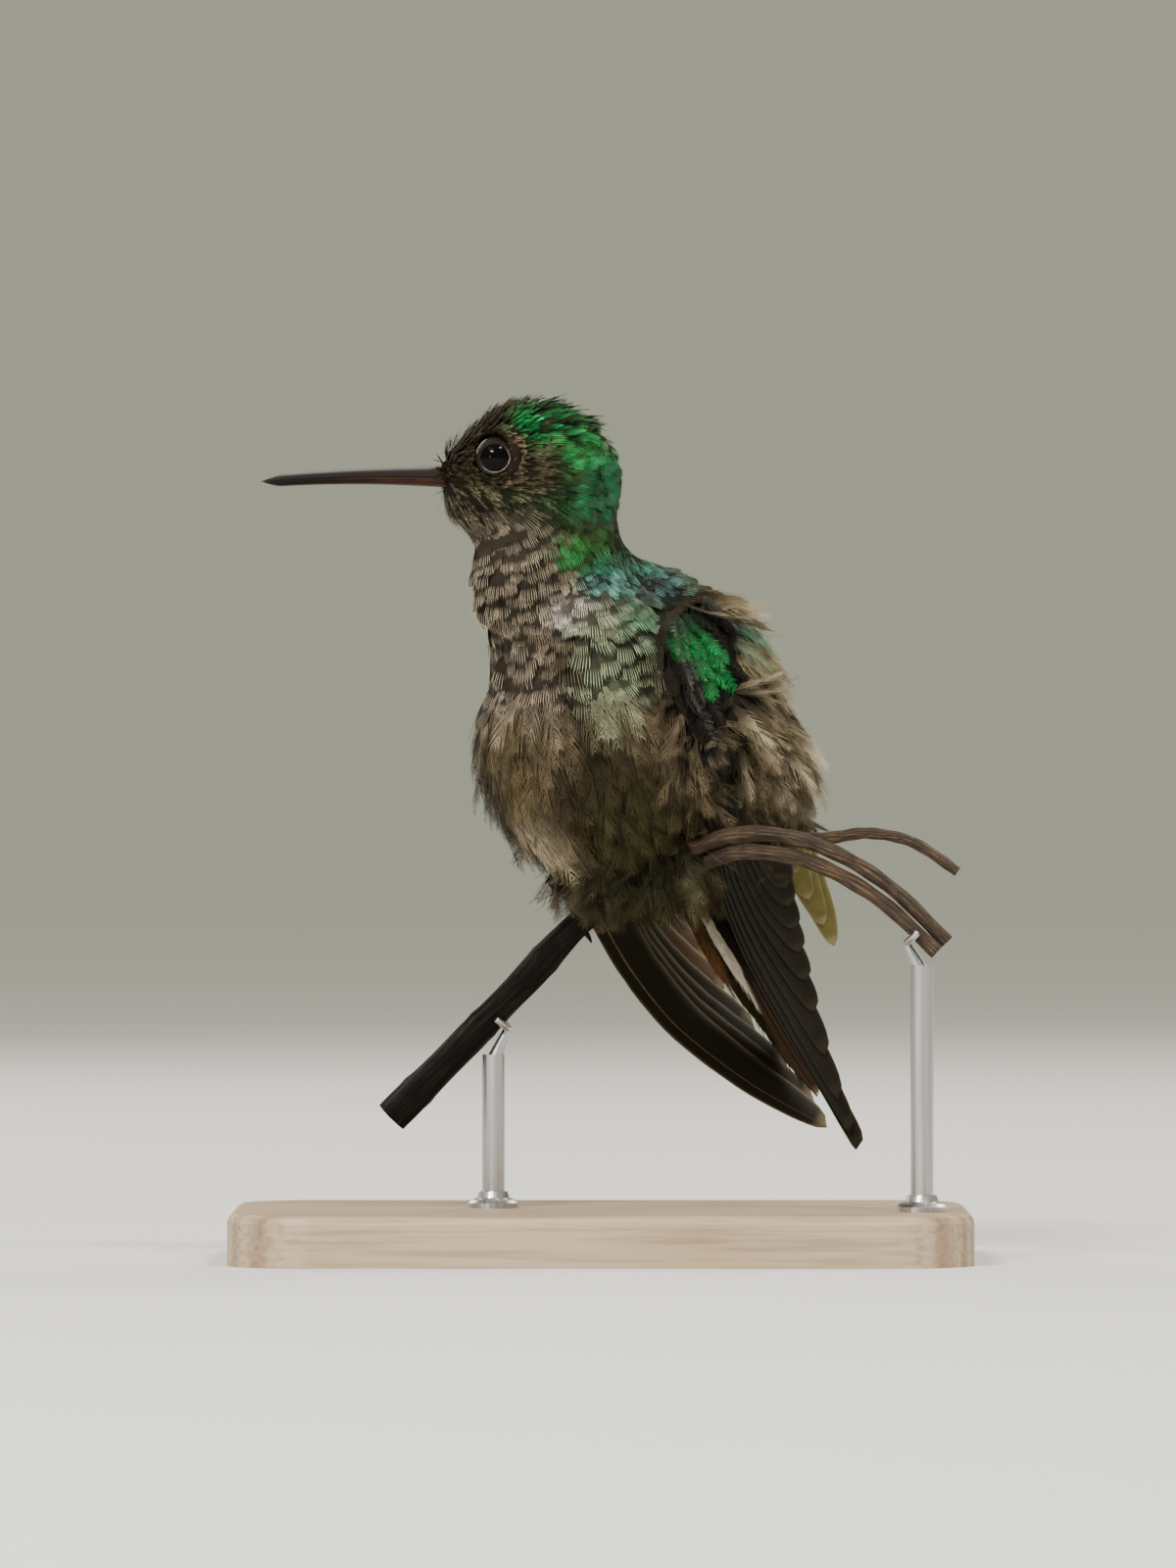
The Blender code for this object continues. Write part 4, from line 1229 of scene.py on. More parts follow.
def vane(place, root, tip, centre, halves, layer):
    """One flight feather as a thin closed plate, and its shaft.

    place(share, across, lift) puts it on its wing or tail. centre(t) is its
    middle across, halves(t) the half widths of its two webs."""
    t, web = np.linspace(0, 1, VANE_STATIONS), np.linspace(-1, 1, 2 * VANE_ROWS + 1)
    worn = np.abs(value_noise(np.stack([t * 60, t * 0 - 1, t * 0], axis=1), 1.0, 5))
    w, run = np.meshgrid(web, t)
    front, rear = (width[:, None] for width in halves(t))
    wide = np.where(w > 0, front, rear) * (1 - VANE_NOTCH * worn)[:, None]
    share, across = root + (tip - root) * run, centre(t)[:, None] + w * wide
    arch = layer + VANE_ARCH * (1 - w**2)
    top = place(share, across, arch + VANE_HALF)
    low = place(share, across, arch - VANE_HALF * (1 - np.abs(w)) - 0.01)
    index = np.arange(w.size).reshape(w.shape)
    rim = np.concatenate([index[0], index[1:, -1], index[-1, -2::-1], index[-2:0:-1, 0]])
    after = np.roll(rim, -1)
    edge = np.stack([rim, after, after + w.size, rim + w.size], axis=1)
    grid = grid_faces(*w.shape, closed=False)
    faces = np.concatenate([grid[:, ::-1], grid + w.size, edge])
    uv = np.stack([w * 0.5 + 0.5, run], axis=-1).reshape(-1, 2)
    points = np.concatenate([top, low]).reshape(-1, 3)
    t = np.linspace(0, SHAFT_TO, VANE_STATIONS)
    line = place(root + (tip - root) * t, centre(t), t * 0 + (layer + SHAFT_LIFT))
    shaft = tube(line, SHAFT_RADIUS * (1 - 0.8 * t), sides=6)
    return (points, faces, np.concatenate([uv, uv])), shaft


def rounded(t, blunt):
    """Width of a web that tapers from the root and rounds off at the tip."""
    return smooth(-0.06, 0.16, t) * (1 - t**blunt) ** 0.5 + 0.012


DUSKY_VANE = (0.011, 0.008, 0.004)
DARK_SHAFT, PALE_SHAFT = (0.016, 0.011, 0.006), (0.20, 0.17, 0.08)
OLIVE_VANE = (0.17, 0.145, 0.040)
RUSTY_VANE = (0.17, 0.085, 0.035)
PALE_RIM = (0.40, 0.33, 0.19)


class FeatherSet:
    """Flight feathers of one wing part or tail half, as one piece."""

    def __init__(self, name, node, looks, total):
        self.name, self.node, self.looks, self.total = name, node, looks, total
        self.parts, self.paints = [], []

    def add(self, number, paint, *shape, shaft_colour=DARK_SHAFT):
        """shape is what vane takes, and paint(uv) the colour and gloss of its plate."""
        plate, shaft = vane(*shape)
        self.parts += [plate, shaft]
        uv = plate[2]
        column = (number + 0.04 + 0.44 * uv[:, 0]) / self.total
        column[len(uv) // 2 :] += 0.5 / self.total
        self.paints.append((*paint(uv), np.stack([column, 0.02 + 0.9 * uv[:, 1]], axis=1)))
        uv = shaft[2]
        colour = np.array(shaft_colour) * blend(0.5, 1.0, 1 - uv[:, :1])
        line = (number + 0.5 + 0.01 * uv[:, 1]) / self.total
        bake = np.stack([line, 0.94 + 0.05 * uv[:, 0]], axis=1)
        self.paints.append((colour, np.full(len(uv), 0.1), bake))

    def close(self):
        colours, gloss, bakes = (np.concatenate(column) for column in zip(*self.paints))
        paint = colours.clip(0, 1), gloss, bakes
        made = mesh_from(self.name, merged(self.parts), self.looks, *paint)
        show(made, "plumage_dusky", self.node)


def vane_paint(rng, pale_tip, other=DUSKY_VANE, share=0.0, rear_only=False):
    """Dusky vane with a pale worn rim at the tip. Its outer half may take a share of
    another colour, on the rear web only if that is asked."""
    dusky = np.array(DUSKY_VANE) * rng.uniform(0.85, 1.2)

    def paint(uv):
        across, run = uv[:, :1] * 2 - 1, uv[:, 1:]
        web = smooth(0.0, -0.3, across) if rear_only else 1.0
        ground = blend(dusky, other, share * smooth(0.30, 0.62, run) * web)
        rim = smooth(0.80, 1.0, np.abs(across)) * smooth(0.25, 0.8, run)
        pale = np.maximum(rim * 0.55, smooth(0.955, 1.0, run)) * pale_tip
        colour = blend(ground * blend(0.75, 1.15, run), PALE_RIM, pale)
        return colour, 0.06 * (1 - pale[:, 0])

    return paint


# By wing: how late the outermost primary swings back, its front web against its
# width, and the rear web of the innermost and of the outermost.
PRIMARY_SHAPES = {1: (1.4, 0.5, 1.35, 1.35), -1: (5.0, 0.8, 1.6, 2.3)}


def build_primaries(side, name, looks):
    rng = np.random.default_rng(SEEDS["primary"] + side)
    last = len(PRIMARY_TIPS) - 1
    feathers = FeatherSet(f"{name}_primary_feathers", f"{name}_primaries", looks, last + 1)
    late, front_end, rear_start, rear_end = PRIMARY_SHAPES[side]
    for number, tip in enumerate(PRIMARY_TIPS):
        outer = number / last
        width = blend(1.9, 1.35, outer)
        tip_half = reading(WING_HALF_WIDTHS[side], tip - 0.02)
        room = max(0.0, 1 - width / max(tip_half, 0.1) * 0.9)
        finish = -room * (1 - outer * 0.25) if number < last else 0.0

        def centre(t):
            return blend(blend(0.10, 0.80, outer), finish, t ** (1.6 + late * outer))

        def halves(t):
            half = reading(WING_HALF_WIDTHS[side], PRIMARY_FROM + (tip - PRIMARY_FROM) * t)
            web = rounded(t, 9.0) * width
            front, rear = blend(0.85, front_end, outer), blend(rear_start, rear_end, outer)
            return web * front / half, web * rear / half

        if side > 0:
            paint, quill = vane_paint(rng, 0.10), DARK_SHAFT
        else:
            rusty = 0.4 if number < 6 else 0.0
            paint = vane_paint(rng, 0.8, RUSTY_VANE, rusty, rear_only=True)
            quill = PALE_SHAFT if number == last else DARK_SHAFT
        shape = partial(wing_place, side), PRIMARY_FROM, tip, centre, halves
        feathers.add(number, paint, *shape, -LAYER * (last - number), shaft_colour=quill)
    feathers.close()


SECONDARY_SINK = 0.3  # how far they lie under the primaries


def build_secondaries(side, name, looks):
    rng = np.random.default_rng(SEEDS["secondary"] + side)
    count = len(SECONDARY_TIPS)
    feathers = FeatherSet(f"{name}_secondary_feathers", f"{name}_secondaries", looks, count)

    def halves(t):
        return 0.34 * rounded(t, 3.5), 0.40 * rounded(t, 3.5)

    for number, tip in enumerate(SECONDARY_TIPS):
        start, finish = blend((-0.15, -0.75), (-0.70, -1.45), number / (count - 1))

        def centre(t):
            return blend(start, finish, t)

        paint = vane_paint(rng, 0.9, OLIVE_VANE, 0.75)
        shape = partial(wing_place, side), SECONDARY_FROM, tip, centre, halves
        feathers.add(number, paint, *shape, LAYER * (number - count) - SECONDARY_SINK)
    feathers.close()


TAIL_LINE = ((-5.0, 0.0, -18.0), (-6.0, 0.2, -31.0), (-9.4, 1.6, -44.0))
TAIL_HALF_WIDTHS = (2.6, 3.2, 3.6, 3.8, 3.8, 3.6, 2.4)
TAIL_CAMBER = 0.8
RECTRICES = 5  # on each side
TAIL_SPREAD = {1: 0.62, -1: 1.5}  # how far across the outermost feather of each side lies


def tail_place(share, across, lift):
    """Points on the closed tail: across runs from -1, right, to 1, left."""
    a, b, c = (np.array(p) for p in TAIL_LINE)
    t = np.clip(share, 0, 1)[..., None]
    way = unit((b - a) * (1 - t) + (c - b) * t)
    chord = square_to(FARWARD, way)
    flat = unit(np.cross(way, chord))
    half = reading(TAIL_HALF_WIDTHS, share)
    height = lift + TAIL_CAMBER * (1 - across**2)
    spot = arc(a, b, c, t) + chord * (half * across)[..., None] + flat * height[..., None]
    return from_body(spot)


RECTRIX_HALF, RECTRIX_LAYER = 0.34, 0.12


def build_tail(side, name, looks):
    rng = np.random.default_rng(SEEDS["tail"] + side)
    feathers = FeatherSet(f"tail_{name}_feathers", f"tail_{name}", looks, RECTRICES)

    def halves(t):
        return (RECTRIX_HALF * rounded(t, 8.0),) * 2

    for number in range(RECTRICES):
        out = number / (RECTRICES - 1)
        tip = 0.965 + 0.03 * math.sin(out * math.pi)

        def centre(t):
            return side * blend(0.12, TAIL_SPREAD[side], out) * blend(0.75, 1.0, t)

        paint = vane_paint(rng, 0.8, RUSTY_VANE, 0.2 + 0.2 * number)
        feathers.add(number, paint, tail_place, 0.0, tip, centre, halves, -RECTRIX_LAYER * number)
    feathers.close()


UNDERTAIL = (
    # root, tip, half width, colour
    ((8.6, 6.0, 36.4), (15.8, 9.6, 23.8), 0.75, WHITISH),
    ((7.6, 6.6, 36.0), (13.6, 10.4, 24.6), 0.95, RUSTY_VANE),
    ((9.6, 5.6, 36.6), (15.2, 9.0, 27.0), 0.85, DUSKY_VANE),
    ((8.2, 5.0, 37.4), (10.6, 6.4, 32.6), 1.10, OLIVE_VANE),
    ((9.2, 4.6, 37.6), (11.6, 6.0, 33.4), 1.00, GREY_BROWN),
    ((9.6, 9.0, 36.0), (20.4, 18.6, 16.0), 1.60, DUSKY_VANE),
    ((8.6, 8.4, 35.6), (17.8, 15.6, 19.6), 1.30, SHADED_OLIVE),
)
UNDERTAIL_FACE = np.array([(0.1, -1.0, 0.1)])  # the way its feathers look


def build_undertail(looks):
    """Long soft feathers from the vent, which lie along the tail's right side."""
    rng = np.random.default_rng(SEEDS["undertail"])
    coat = Coat("undertail", looks, "plumage_grey")
    for root, tip, half, colour in UNDERTAIL:
        root, colour = np.array([root]), np.array([colour])
        reach = np.array([tip]) - root
        length = np.linalg.norm(reach, axis=1)
        sizes = (length, np.array([half]), np.zeros(1), np.zeros(1))
        paint = (colour, colour * 0.25, np.zeros(1))
        grow(coat, "web", root, UNDERTAIL_FACE, reach / length[:, None], sizes, paint, rng)
    coat.close()


ARM_HALF, ARM_FADES = 1.2, 0.45  # half the arm's thickness, and the share where it ends
COVERT_ROWS = (
    # share along the wing, feathers, length, half width, colour, gloss
    (0.015, 5, 3.0, 1.2, DEEP_GREEN, 0.8),
    (0.045, 6, 3.0, 1.2, EMERALD, 0.9),
    (0.075, 7, 3.2, 1.25, EMERALD, 1.0),
    (0.105, 8, 3.6, 1.3, EMERALD, 1.0),
    (0.140, 8, 4.4, 1.4, EMERALD, 0.9),
    (0.180, 8, 5.6, 1.5, DEEP_GREEN, 0.6),
    (0.225, 9, 7.0, 1.45, DUSKY_VANE, 0.1),
)


def build_wing_coverts(side, name, looks):
    """Rows of small feathers over the arm and the roots of the flight feathers."""
    rng = np.random.default_rng(SEEDS["covert"] + side)
    coat = Coat(f"{name}_coverts", looks, "plumage_green")
    for share, many, length, half, colour, shine in COVERT_ROWS:
        across = np.linspace(-0.90, 1.0, many) + rng.normal(0, 0.03, many)
        shares = share + rng.normal(0, 0.006, many)
        lift = -ARM_HALF * (1 - (shares / ARM_FADES) ** 2)
        root = wing_place(side, shares, across, lift)
        shown = root[:, 0] > COVERTS_FROM_X
        across, shares, lift, root = (row[shown] for row in (across, shares, lift, root))
        many = len(root)
        if not many:
            continue
        ahead = wing_place(side, shares + 0.03, across * 0.98, lift)
        out = wing_place(side, shares, across, lift - 1.0)
        normal, lie = unit(out - root), unit(ahead - root)
        size = rng.normal(1.0, 0.08, many)
        lifts = np.radians(9 + rng.normal(0, 3, many))
        sizes = (length * size, half * size, lifts, np.radians(-7 + rng.normal(0, 3, many)))
        tip = np.array(colour) * rng.normal(1, 0.15, (many, 1)).clip(0.6, 1.4)
        green = smooth(2.3, 1.1, from_coverts(root + lie * length * 0.7))[:, None]
        tip = blend(DUSKY_VANE, tip * 0.75, green)
        paint = (tip.clip(0, 1), tip * 0.18, np.full(many, shine))
        grow(coat, "covert", root, normal, lie, sizes, paint, rng, camber=0.22)
    coat.close()


# ---------------------------------------------------------------- eyes and bill


LID_PROFILE = np.array(
    # angle past the opening, height over the eyeball, share of the pale rim
    ((-0.020, -0.06, 0.2), (-0.012, 0.04, 1.0), (0.015, 0.06, 0.8), (0.035, 0.05, 0.1),
     (0.07, 0.02, 0.0), (0.10, 0.08, 0.15), (0.13, 0.08, 0.05), (0.18, 0.02, 0.0),
     (0.26, 0.03, 0.1), (0.33, -0.02, 0.0), (0.46, -0.10, 0.0), (0.60, -0.45, 0.0))
)
LID_DARK, LID_PALE = (0.012, 0.008, 0.005), (0.36, 0.30, 0.23)
CORNEA_RISE, CORNEA_ANGLE = 0.05, 0.6


def round_eye(side, angle, turn, reach):
    """Points round one eye's centre, by their angle off its direction and turn."""
    way = eye_way(side)
    first = unit(np.cross(way, SKYWARD))
    ring = first * np.cos(turn)[..., None] + np.cross(way, first) * np.sin(turn)[..., None]
    ahead = way * np.cos(angle)[..., None] + ring * np.sin(angle)[..., None]
    return (eye_centre(side) + ahead * reach[..., None]).reshape(-1, 3)


def build_eyeball(side, name, looks):
    """An eyeball with a slightly raised cornea."""
    stations, turns = 40, 64
    angle = np.linspace(0.001, math.pi - 0.001, stations)
    angle, turn = np.meshgrid(angle, around(turns), indexing="ij")
    bulge = EYE_RADIUS - 0.02 + CORNEA_RISE * bell(angle, 0.0, CORNEA_ANGLE)
    lie = np.stack([turn / math.tau, angle / math.pi], axis=-1).reshape(-1, 2)
    shape = round_eye(side, angle, turn, bulge), grid_faces(stations, turns), lie
    show(mesh_from(f"eyeball_{name}", shape, looks), "eye_black", f"eye_{name}")


def build_eyelid(side, name, looks):
    """A ring of bare crimped lid skin with a pale worn rim."""
    rows, turns = len(LID_PROFILE), 96
    over, height, pale = LID_PROFILE.T[..., None]
    turn = np.tile(around(turns), (rows, 1))
    oval = EYE_OPENING * (1 - 0.07 * np.abs(np.sin(turn)) + 0.05 * np.cos(turn))
    crimp = (0.012 * np.sin(turn * 23) + 0.01 * np.sin(turn * 37 + 1)) * (over > 0)
    points = round_eye(side, oval + over + crimp, turn, EYE_RADIUS + height + crimp * 1.5)
    way = from_eye(points, side)[0]
    worn = smooth(-0.35, 0.55, way[:, 0] * 0.55 - way[:, 2] * 0.80)
    worn = worn * (pale * (0.75 + 0.25 * np.sin(turn * 9 + 0.6))).ravel()
    colour = blend(LID_DARK, LID_PALE, worn[:, None])
    run = np.repeat(np.linspace(0, 1, rows), turns)
    shape = points, grid_faces(rows, turns), np.stack([turn.ravel() / math.tau, run], axis=1)
    show(mesh_from(f"eyelid_{name}", shape, looks, colour), "leg_skin")


BILL_SAG = 0.25
BILL_ROOT_WIDTH, BILL_ROOT_HEIGHT, BILL_TIP_SIZE = 2.5, 2.1, 1.12
BILL_TAPER = 1.6
BILL_POINT_FROM = 0.90
BILL_SLOT = 0.02


BILL_STATIONS, BILL_SIDES = 90, 20
# Name, material slot, share of the bill's length and height, ridge and side groove.
BILL_HALVES = {
    1: ("upper", "bill_horn", 1.0, 0.56, 0.10, 0.10),
    -1: ("lower", "bill_horn_reddish", 0.985, 0.44, 0.03, 0.0),
}


def build_bill(sign, looks):
    """Half a bill, with a ridge along the culmen and a sharp cutting edge. The upper
    half has sign 1, the lower one -1."""
    name, slot, length, deep, ridge, groove = BILL_HALVES[sign]
    share = np.linspace(0, length, BILL_STATIONS)
    centre = blend(BILL_ROOT, BILL_TIP, share[:, None])
    centre[:, 2] += BILL_SAG * np.sin(share * math.pi)
    taper = (1 - share) ** BILL_TAPER
    tipward = ((share - BILL_POINT_FROM) / (length - BILL_POINT_FROM)).clip(0, 1)
    point = 1 - 0.90 * tipward**1.3
    wide = blend(BILL_TIP_SIZE, BILL_ROOT_WIDTH, taper) / 2 * point
    high = blend(BILL_TIP_SIZE, BILL_ROOT_HEIGHT, taper) * deep * point
    angle = np.linspace(0, math.pi, BILL_SIDES)
    grooved = 1 - groove * bell(np.sin(angle), 0.42, 0.12)
    ridged = 1 + ridge * bell(angle, math.pi / 2, 0.22)
    y = (np.cos(angle) * grooved)[None] * wide[:, None]
    z = sign * ((np.sin(angle) * ridged * grooved)[None] * high[:, None] + BILL_SLOT / 2)
    grid = centre[:, None] + np.stack([y * 0, y, z], axis=-1)
    under = grid[:, ::-1].copy()
    under[..., 2] = centre[:, None, 2] + sign * BILL_SLOT / 2
    whole = np.concatenate([grid, under[:, 1:-1]], axis=1)
    first, last = (blend(row.mean(axis=0), row, 0.05)[None] for row in (whole[0], whole[-1]))
    whole = np.concatenate([first, whole, last])
    rows, columns = whole.shape[:2]
    spread = np.meshgrid(np.linspace(0, 1, rows), np.linspace(0, 1, columns), indexing="ij")
    faces = grid_faces(rows, columns)[:, ::-sign]
    shape = whole.reshape(-1, 3), faces, np.stack(spread, axis=-1).reshape(-1, 2)
    show(mesh_from(f"bill_{name}_sheath", shape, looks), slot, f"bill_{name}")


# ----------------------------------------------------------- legs and the perch

VINE_PATH = (
    (-20.4, 1.5, 13.8),
    (-14.2, 0.9, 20.1),
    (-8.0, 0.2, 26.5),
    (-1.8, -0.8, 33.1),
    (3.6, -2.4, 36.9),
    (8.6, -6.0, 39.0),
    (13.0, -8.6, 40.6),
    (18.0, -9.8, 40.4),
    (23.0, -10.2, 38.6),
    (28.0, -10.4, 35.4),
    (33.0, -10.4, 30.6),
)
TWIG_RADIUS, TWIG_TAPER = 1.65, 0.55
TWIG_END = 0.50
VINE_FROM, VINE_RADIUS, STRAND_OFFSET = 0.52, 0.72, 0.9
STRANDS_FROM = 0.46  # where the strands come out of the twig's end
TENDRIL_PATH = (
    (17.4, -9.3, 41.0),
    (22.2, -8.6, 41.2),
    (26.0, -8.4, 41.6),
    (30.3, -8.5, 40.7),
    (34.6, -8.6, 37.9),
)
TENDRIL_RADIUS = 0.58
FEET = {"right": (0.31, (0.8, 0.6, 39.6)), "left": (0.385, (5.6, -3.6, 42.6))}
TOE_RADIUS, TARSUS_RADIUS = 0.42, 0.62
TOE_SPREADS = (-28, 0, 28)
CLAW_FROM = 0.72


def vine_frame(share):
    """Middle, direction and upward side of the perch at one share."""
    before, spot, after = along(VINE_PATH, np.array((share - 0.01, share, share + 0.01)))
    way = unit(after - before)
    return spot, way, square_to(SKYWARD, way)


def ridges(u, a):
    """Radius of the twig against its mean; u is the share along it and a the angle."""
    deep = 0.05 * np.sin(a * 5 + np.sin(u * 9)) + 0.03 * np.sin(a * 9 + u * 14)
    return 0.97 + deep + 0.05 * bell((u * 5.2) % 1, 0.5, 0.06)


def fibres(u, a):
    return 0.98 + 0.045 * np.sin(a * 4 + u * 7) + 0.03 * np.sin(a * 7 - u * 11)


def tendril_ridges(u, a):
    return 0.98 + 0.05 * np.sin(a * 3 + u * 6)


def scutes(u, a):
    return 1 + 0.05 * np.abs(np.sin(u * 34)) * (1 + np.cos(a)) / 2


def pads(u, a):
    return 1 + 0.10 * np.abs(np.sin(u * 11)) + 0.03 * np.sin(u * 60)


TOE_ROOM = 0.1 + 0.3  # over the twig's mean radius, for its ridges and for the pads
TOES = [(spread, -150) for spread in TOE_SPREADS] + [(0, 110)]  # spread, sweep in degrees


def build_leg(name, looks, claws):
    share, top_end = FEET[name]
    centre, way, top = vine_frame(share)
    ring = TWIG_RADIUS + TOE_ROOM + TOE_RADIUS
    foot = centre + top * (ring + 0.1)
    bend = blend(foot, top_end, 0.5) + np.array((0.5, 0.3, 0.0))
    s = np.linspace(0, 1, 26)[:, None]
    shin = arc(foot, bend, np.array(top_end), s)
    parts = [tube(shin, TARSUS_RADIUS * (1 + 0.3 * s[:, 0]), 14, bumps=scutes)]
    claw_parts = []
    s = np.linspace(0, 1, 46)
    toe = s < CLAW_FROM
    for spread, sweep in TOES:
        angle = (np.radians(sweep) * s)[:, None]
        outward = math.tan(math.radians(spread)) * 3.2
        drift = outward * np.sin(np.minimum(s * 2.2, math.pi / 2))
        grip = top * (ring * np.cos(angle)) + np.cross(way, top) * (ring * np.sin(angle))
        line = centre + grip + way * drift[:, None]
        parts.append(tube(line[toe], np.full(toe.sum(), TOE_RADIUS * 0.88), 12, bumps=pads))
        thin = TOE_RADIUS * 0.72 * (1 - np.linspace(0, 1, (~toe).sum())) ** 0.8 + 0.03
        claw_parts.append(tube(line[~toe], thin, 10))
    show(mesh_from(f"foot_{name}_skin", merged(parts), looks), "leg_skin", f"leg_{name}")
    show(mesh_from(f"foot_{name}_claws", merged(claw_parts), claws), "leg_skin")


def build_perch(twig_look, vine_look):
    """The dark twig, the two twisted strands of vine and the tendril."""
    share = np.linspace(0, TWIG_END, 150)
    radii = TWIG_RADIUS * (1 - TWIG_TAPER * share) + 0.06 * np.sin(share * 60)
    twig = tube(along(VINE_PATH, share), radii, 40, bumps=ridges)
    show(mesh_from("perch_twig_bark", twig, twig_look), "bark_dark", "perch_twig")
    share = np.linspace(STRANDS_FROM, 1.0, 180)
    way = unit(along(VINE_PATH, share + 0.01) - along(VINE_PATH, share - 0.01))
    side = square_to(FARWARD, way)
    parted = smooth(STRANDS_FROM, VINE_FROM, share)
    reach = (STRAND_OFFSET * blend(0.35, 1.0, parted))[:, None]
    for number, name in enumerate(("upper", "lower")):
        turn = math.radians(70) + number * math.pi + (share - VINE_FROM) * 2.2
        off = side * np.cos(turn)[:, None] - np.cross(way, side) * np.sin(turn)[:, None]
        radii = VINE_RADIUS * (1.02 + 0.05 * np.sin(share * 90 + number))
        line = along(VINE_PATH, share) - off * reach
        strand = tube(line, radii * blend(0.6, 1.0, parted), 28, bumps=fibres)
        strand = mesh_from(f"perch_vine_{name}_bark", strand, vine_look)
        show(strand, "bark_tan", f"perch_vine_{name}")
    share = np.linspace(0, 1, 90)
    radii = TENDRIL_RADIUS * (1.1 - 0.2 * share) * (1 + 0.05 * np.sin(share * 50))
    tendril = tube(along(TENDRIL_PATH, share), radii, 20, bumps=tendril_ridges)
    show(mesh_from("perch_tendril_bark", tendril, vine_look), "bark_tan", "perch_tendril")


# ------------------------------------------------------------ stand and staging


def dress_stand(wood, steel):
    for node, look in (("base", wood), ("rod_left", steel), ("rod_right", steel)):
        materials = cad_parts[f"stand_{node}"].data.materials
        materials.clear()
        materials.append(look)


def rod_ends(name):
    """The middles of the foot and of the head of one rod, in millimetres."""
    low, high = (np.array(corner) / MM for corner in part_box(f"stand_rod_{name}"))
    middle = (low + high)[:2] / 2
    return np.array((*middle, low[2])), np.array((*middle, high[2]))


COLLAR = np.array(
    # radius and height of each turn of its profile
    ((1.0, 0.0), (2.5, 0.0), (2.5, 0.5), (2.2, 0.8), (1.6, 1.0), (1.4, 1.6), (1.0, 1.7))
)


def collars(looks):
    """A turned collar where each rod enters the base."""
    turn = around(40)
    ring = np.stack([np.cos(turn), np.sin(turn), turn * 0], axis=1)
    for name in SIDES.values():
        rows = COLLAR[:, :1, None] * ring + COLLAR[:, 1:, None] * SKYWARD
        points = (rod_ends(name)[0] + rows).reshape(-1, 3)
        shape = points, grid_faces(len(COLLAR), len(turn)), None
        collar = mesh_from(f"stand_collar_{name}", shape, looks)
        for face in collar.data.polygons:
            face.use_smooth = False
        show(collar, "stand_steel")


HORIZON, ZENITH = 0.62, 0.85  # strength of the soft light round and above
PALE = (0.62, 0.62, 0.48)


def studio_sky():
    """Soft pale light all round, stronger from above."""
    m = Nodes(bpy.data.worlds.new("studio"), "Background")
    rise = m.part(m.add("ShaderNodeTexCoord")["Generated"], "Z")
    return m.set(Color=(*PALE, 1.0), Strength=m.span(rise, HORIZON, ZENITH, 0.1))


CRADLE_WIRE, CRADLE_ROOM = 0.35, 0.12


def cradles(looks):
    """A bent steel cradle on each rod, which cups the perch from below."""
    shares = np.linspace(0, 1, 400)
    spots = along(VINE_PATH, shares)
    angle = np.radians(np.linspace(-70, 70, 40))[:, None]
    for name in SIDES.values():
        head = rod_ends(name)[1]
        share = shares[np.argmin(np.hypot(spots[:, 0] - head[0], spots[:, 1] - head[1]))]
        centre, way, top = vine_frame(share)
        reach = STRAND_OFFSET + VINE_RADIUS
        if share < VINE_FROM:
            reach = TWIG_RADIUS * (1 - TWIG_TAPER * share)
        reach = reach + CRADLE_WIRE + CRADLE_ROOM
        cup = centre - top * np.cos(angle) * reach + np.cross(way, top) * np.sin(angle) * reach
        stem = blend(head - SKYWARD * 0.6, cup[len(cup) // 2], np.linspace(0, 1, 12)[:, None])
        parts = [tube(cup, np.full(len(cup), CRADLE_WIRE), 12, first_side=way)]
        parts.append(tube(stem, np.linspace(0.8, CRADLE_WIRE, 12), 12))
        show(mesh_from(f"stand_cradle_{name}", merged(parts), looks), "stand_steel")


VIEW_FROM = Vector((-1.24, -1200.0, 46.4)) * MM
VIEW_LENS, VIEW_CLIP = 282.2, (0.05, 20.0)


LIGHTS_AIM = Vector((0.0, 0.0, 0.06))


def placed(name, data, place):
    made = bpy.data.objects.new(name, data)
    made.location = place
    bpy.context.scene.collection.objects.link(made)
    return made


def area_light(name, place, size, power, colour):
    data = bpy.data.lights.new(name, "AREA")
    data.shape, data.energy, data.color = "RECTANGLE", power, colour
    data.size, data.size_y = size
    lamp = placed(name, data, place)
    lamp.rotation_euler = (LIGHTS_AIM - Vector(place)).to_track_quat("-Z", "Y").to_euler()


SPARK_COLOUR = (1.0, 0.97, 0.92)
LIGHTS = {
    # place, size, power, colour; the sparks are small bright lamps that the wet eye
    # shows as separate points
    "key": ((-0.40, -0.50, 0.75), (0.50, 0.26), 0.8, (1.0, 0.93, 0.80)),
    "spark_0": ((0.36, -0.42, 0.83), (0.18, 0.10), 4.4, SPARK_COLOUR),
    "spark_1": ((-0.34, -0.72, 0.62), (0.26, 0.12), 9.0, SPARK_COLOUR),
    "spark_2": ((-0.57, -0.81, 0.17), (0.07, 0.07), 1.2, SPARK_COLOUR),
    "rim": ((0.50, 0.50, 0.60), (0.40, 0.40), 4.0, (1.0, 0.95, 0.84)),
    "fill": ((-0.45, 0.60, 0.40), (0.50, 0.40), 3.2, (1.0, 0.96, 0.88)),
}
FLOOR_HALF = 4000.0


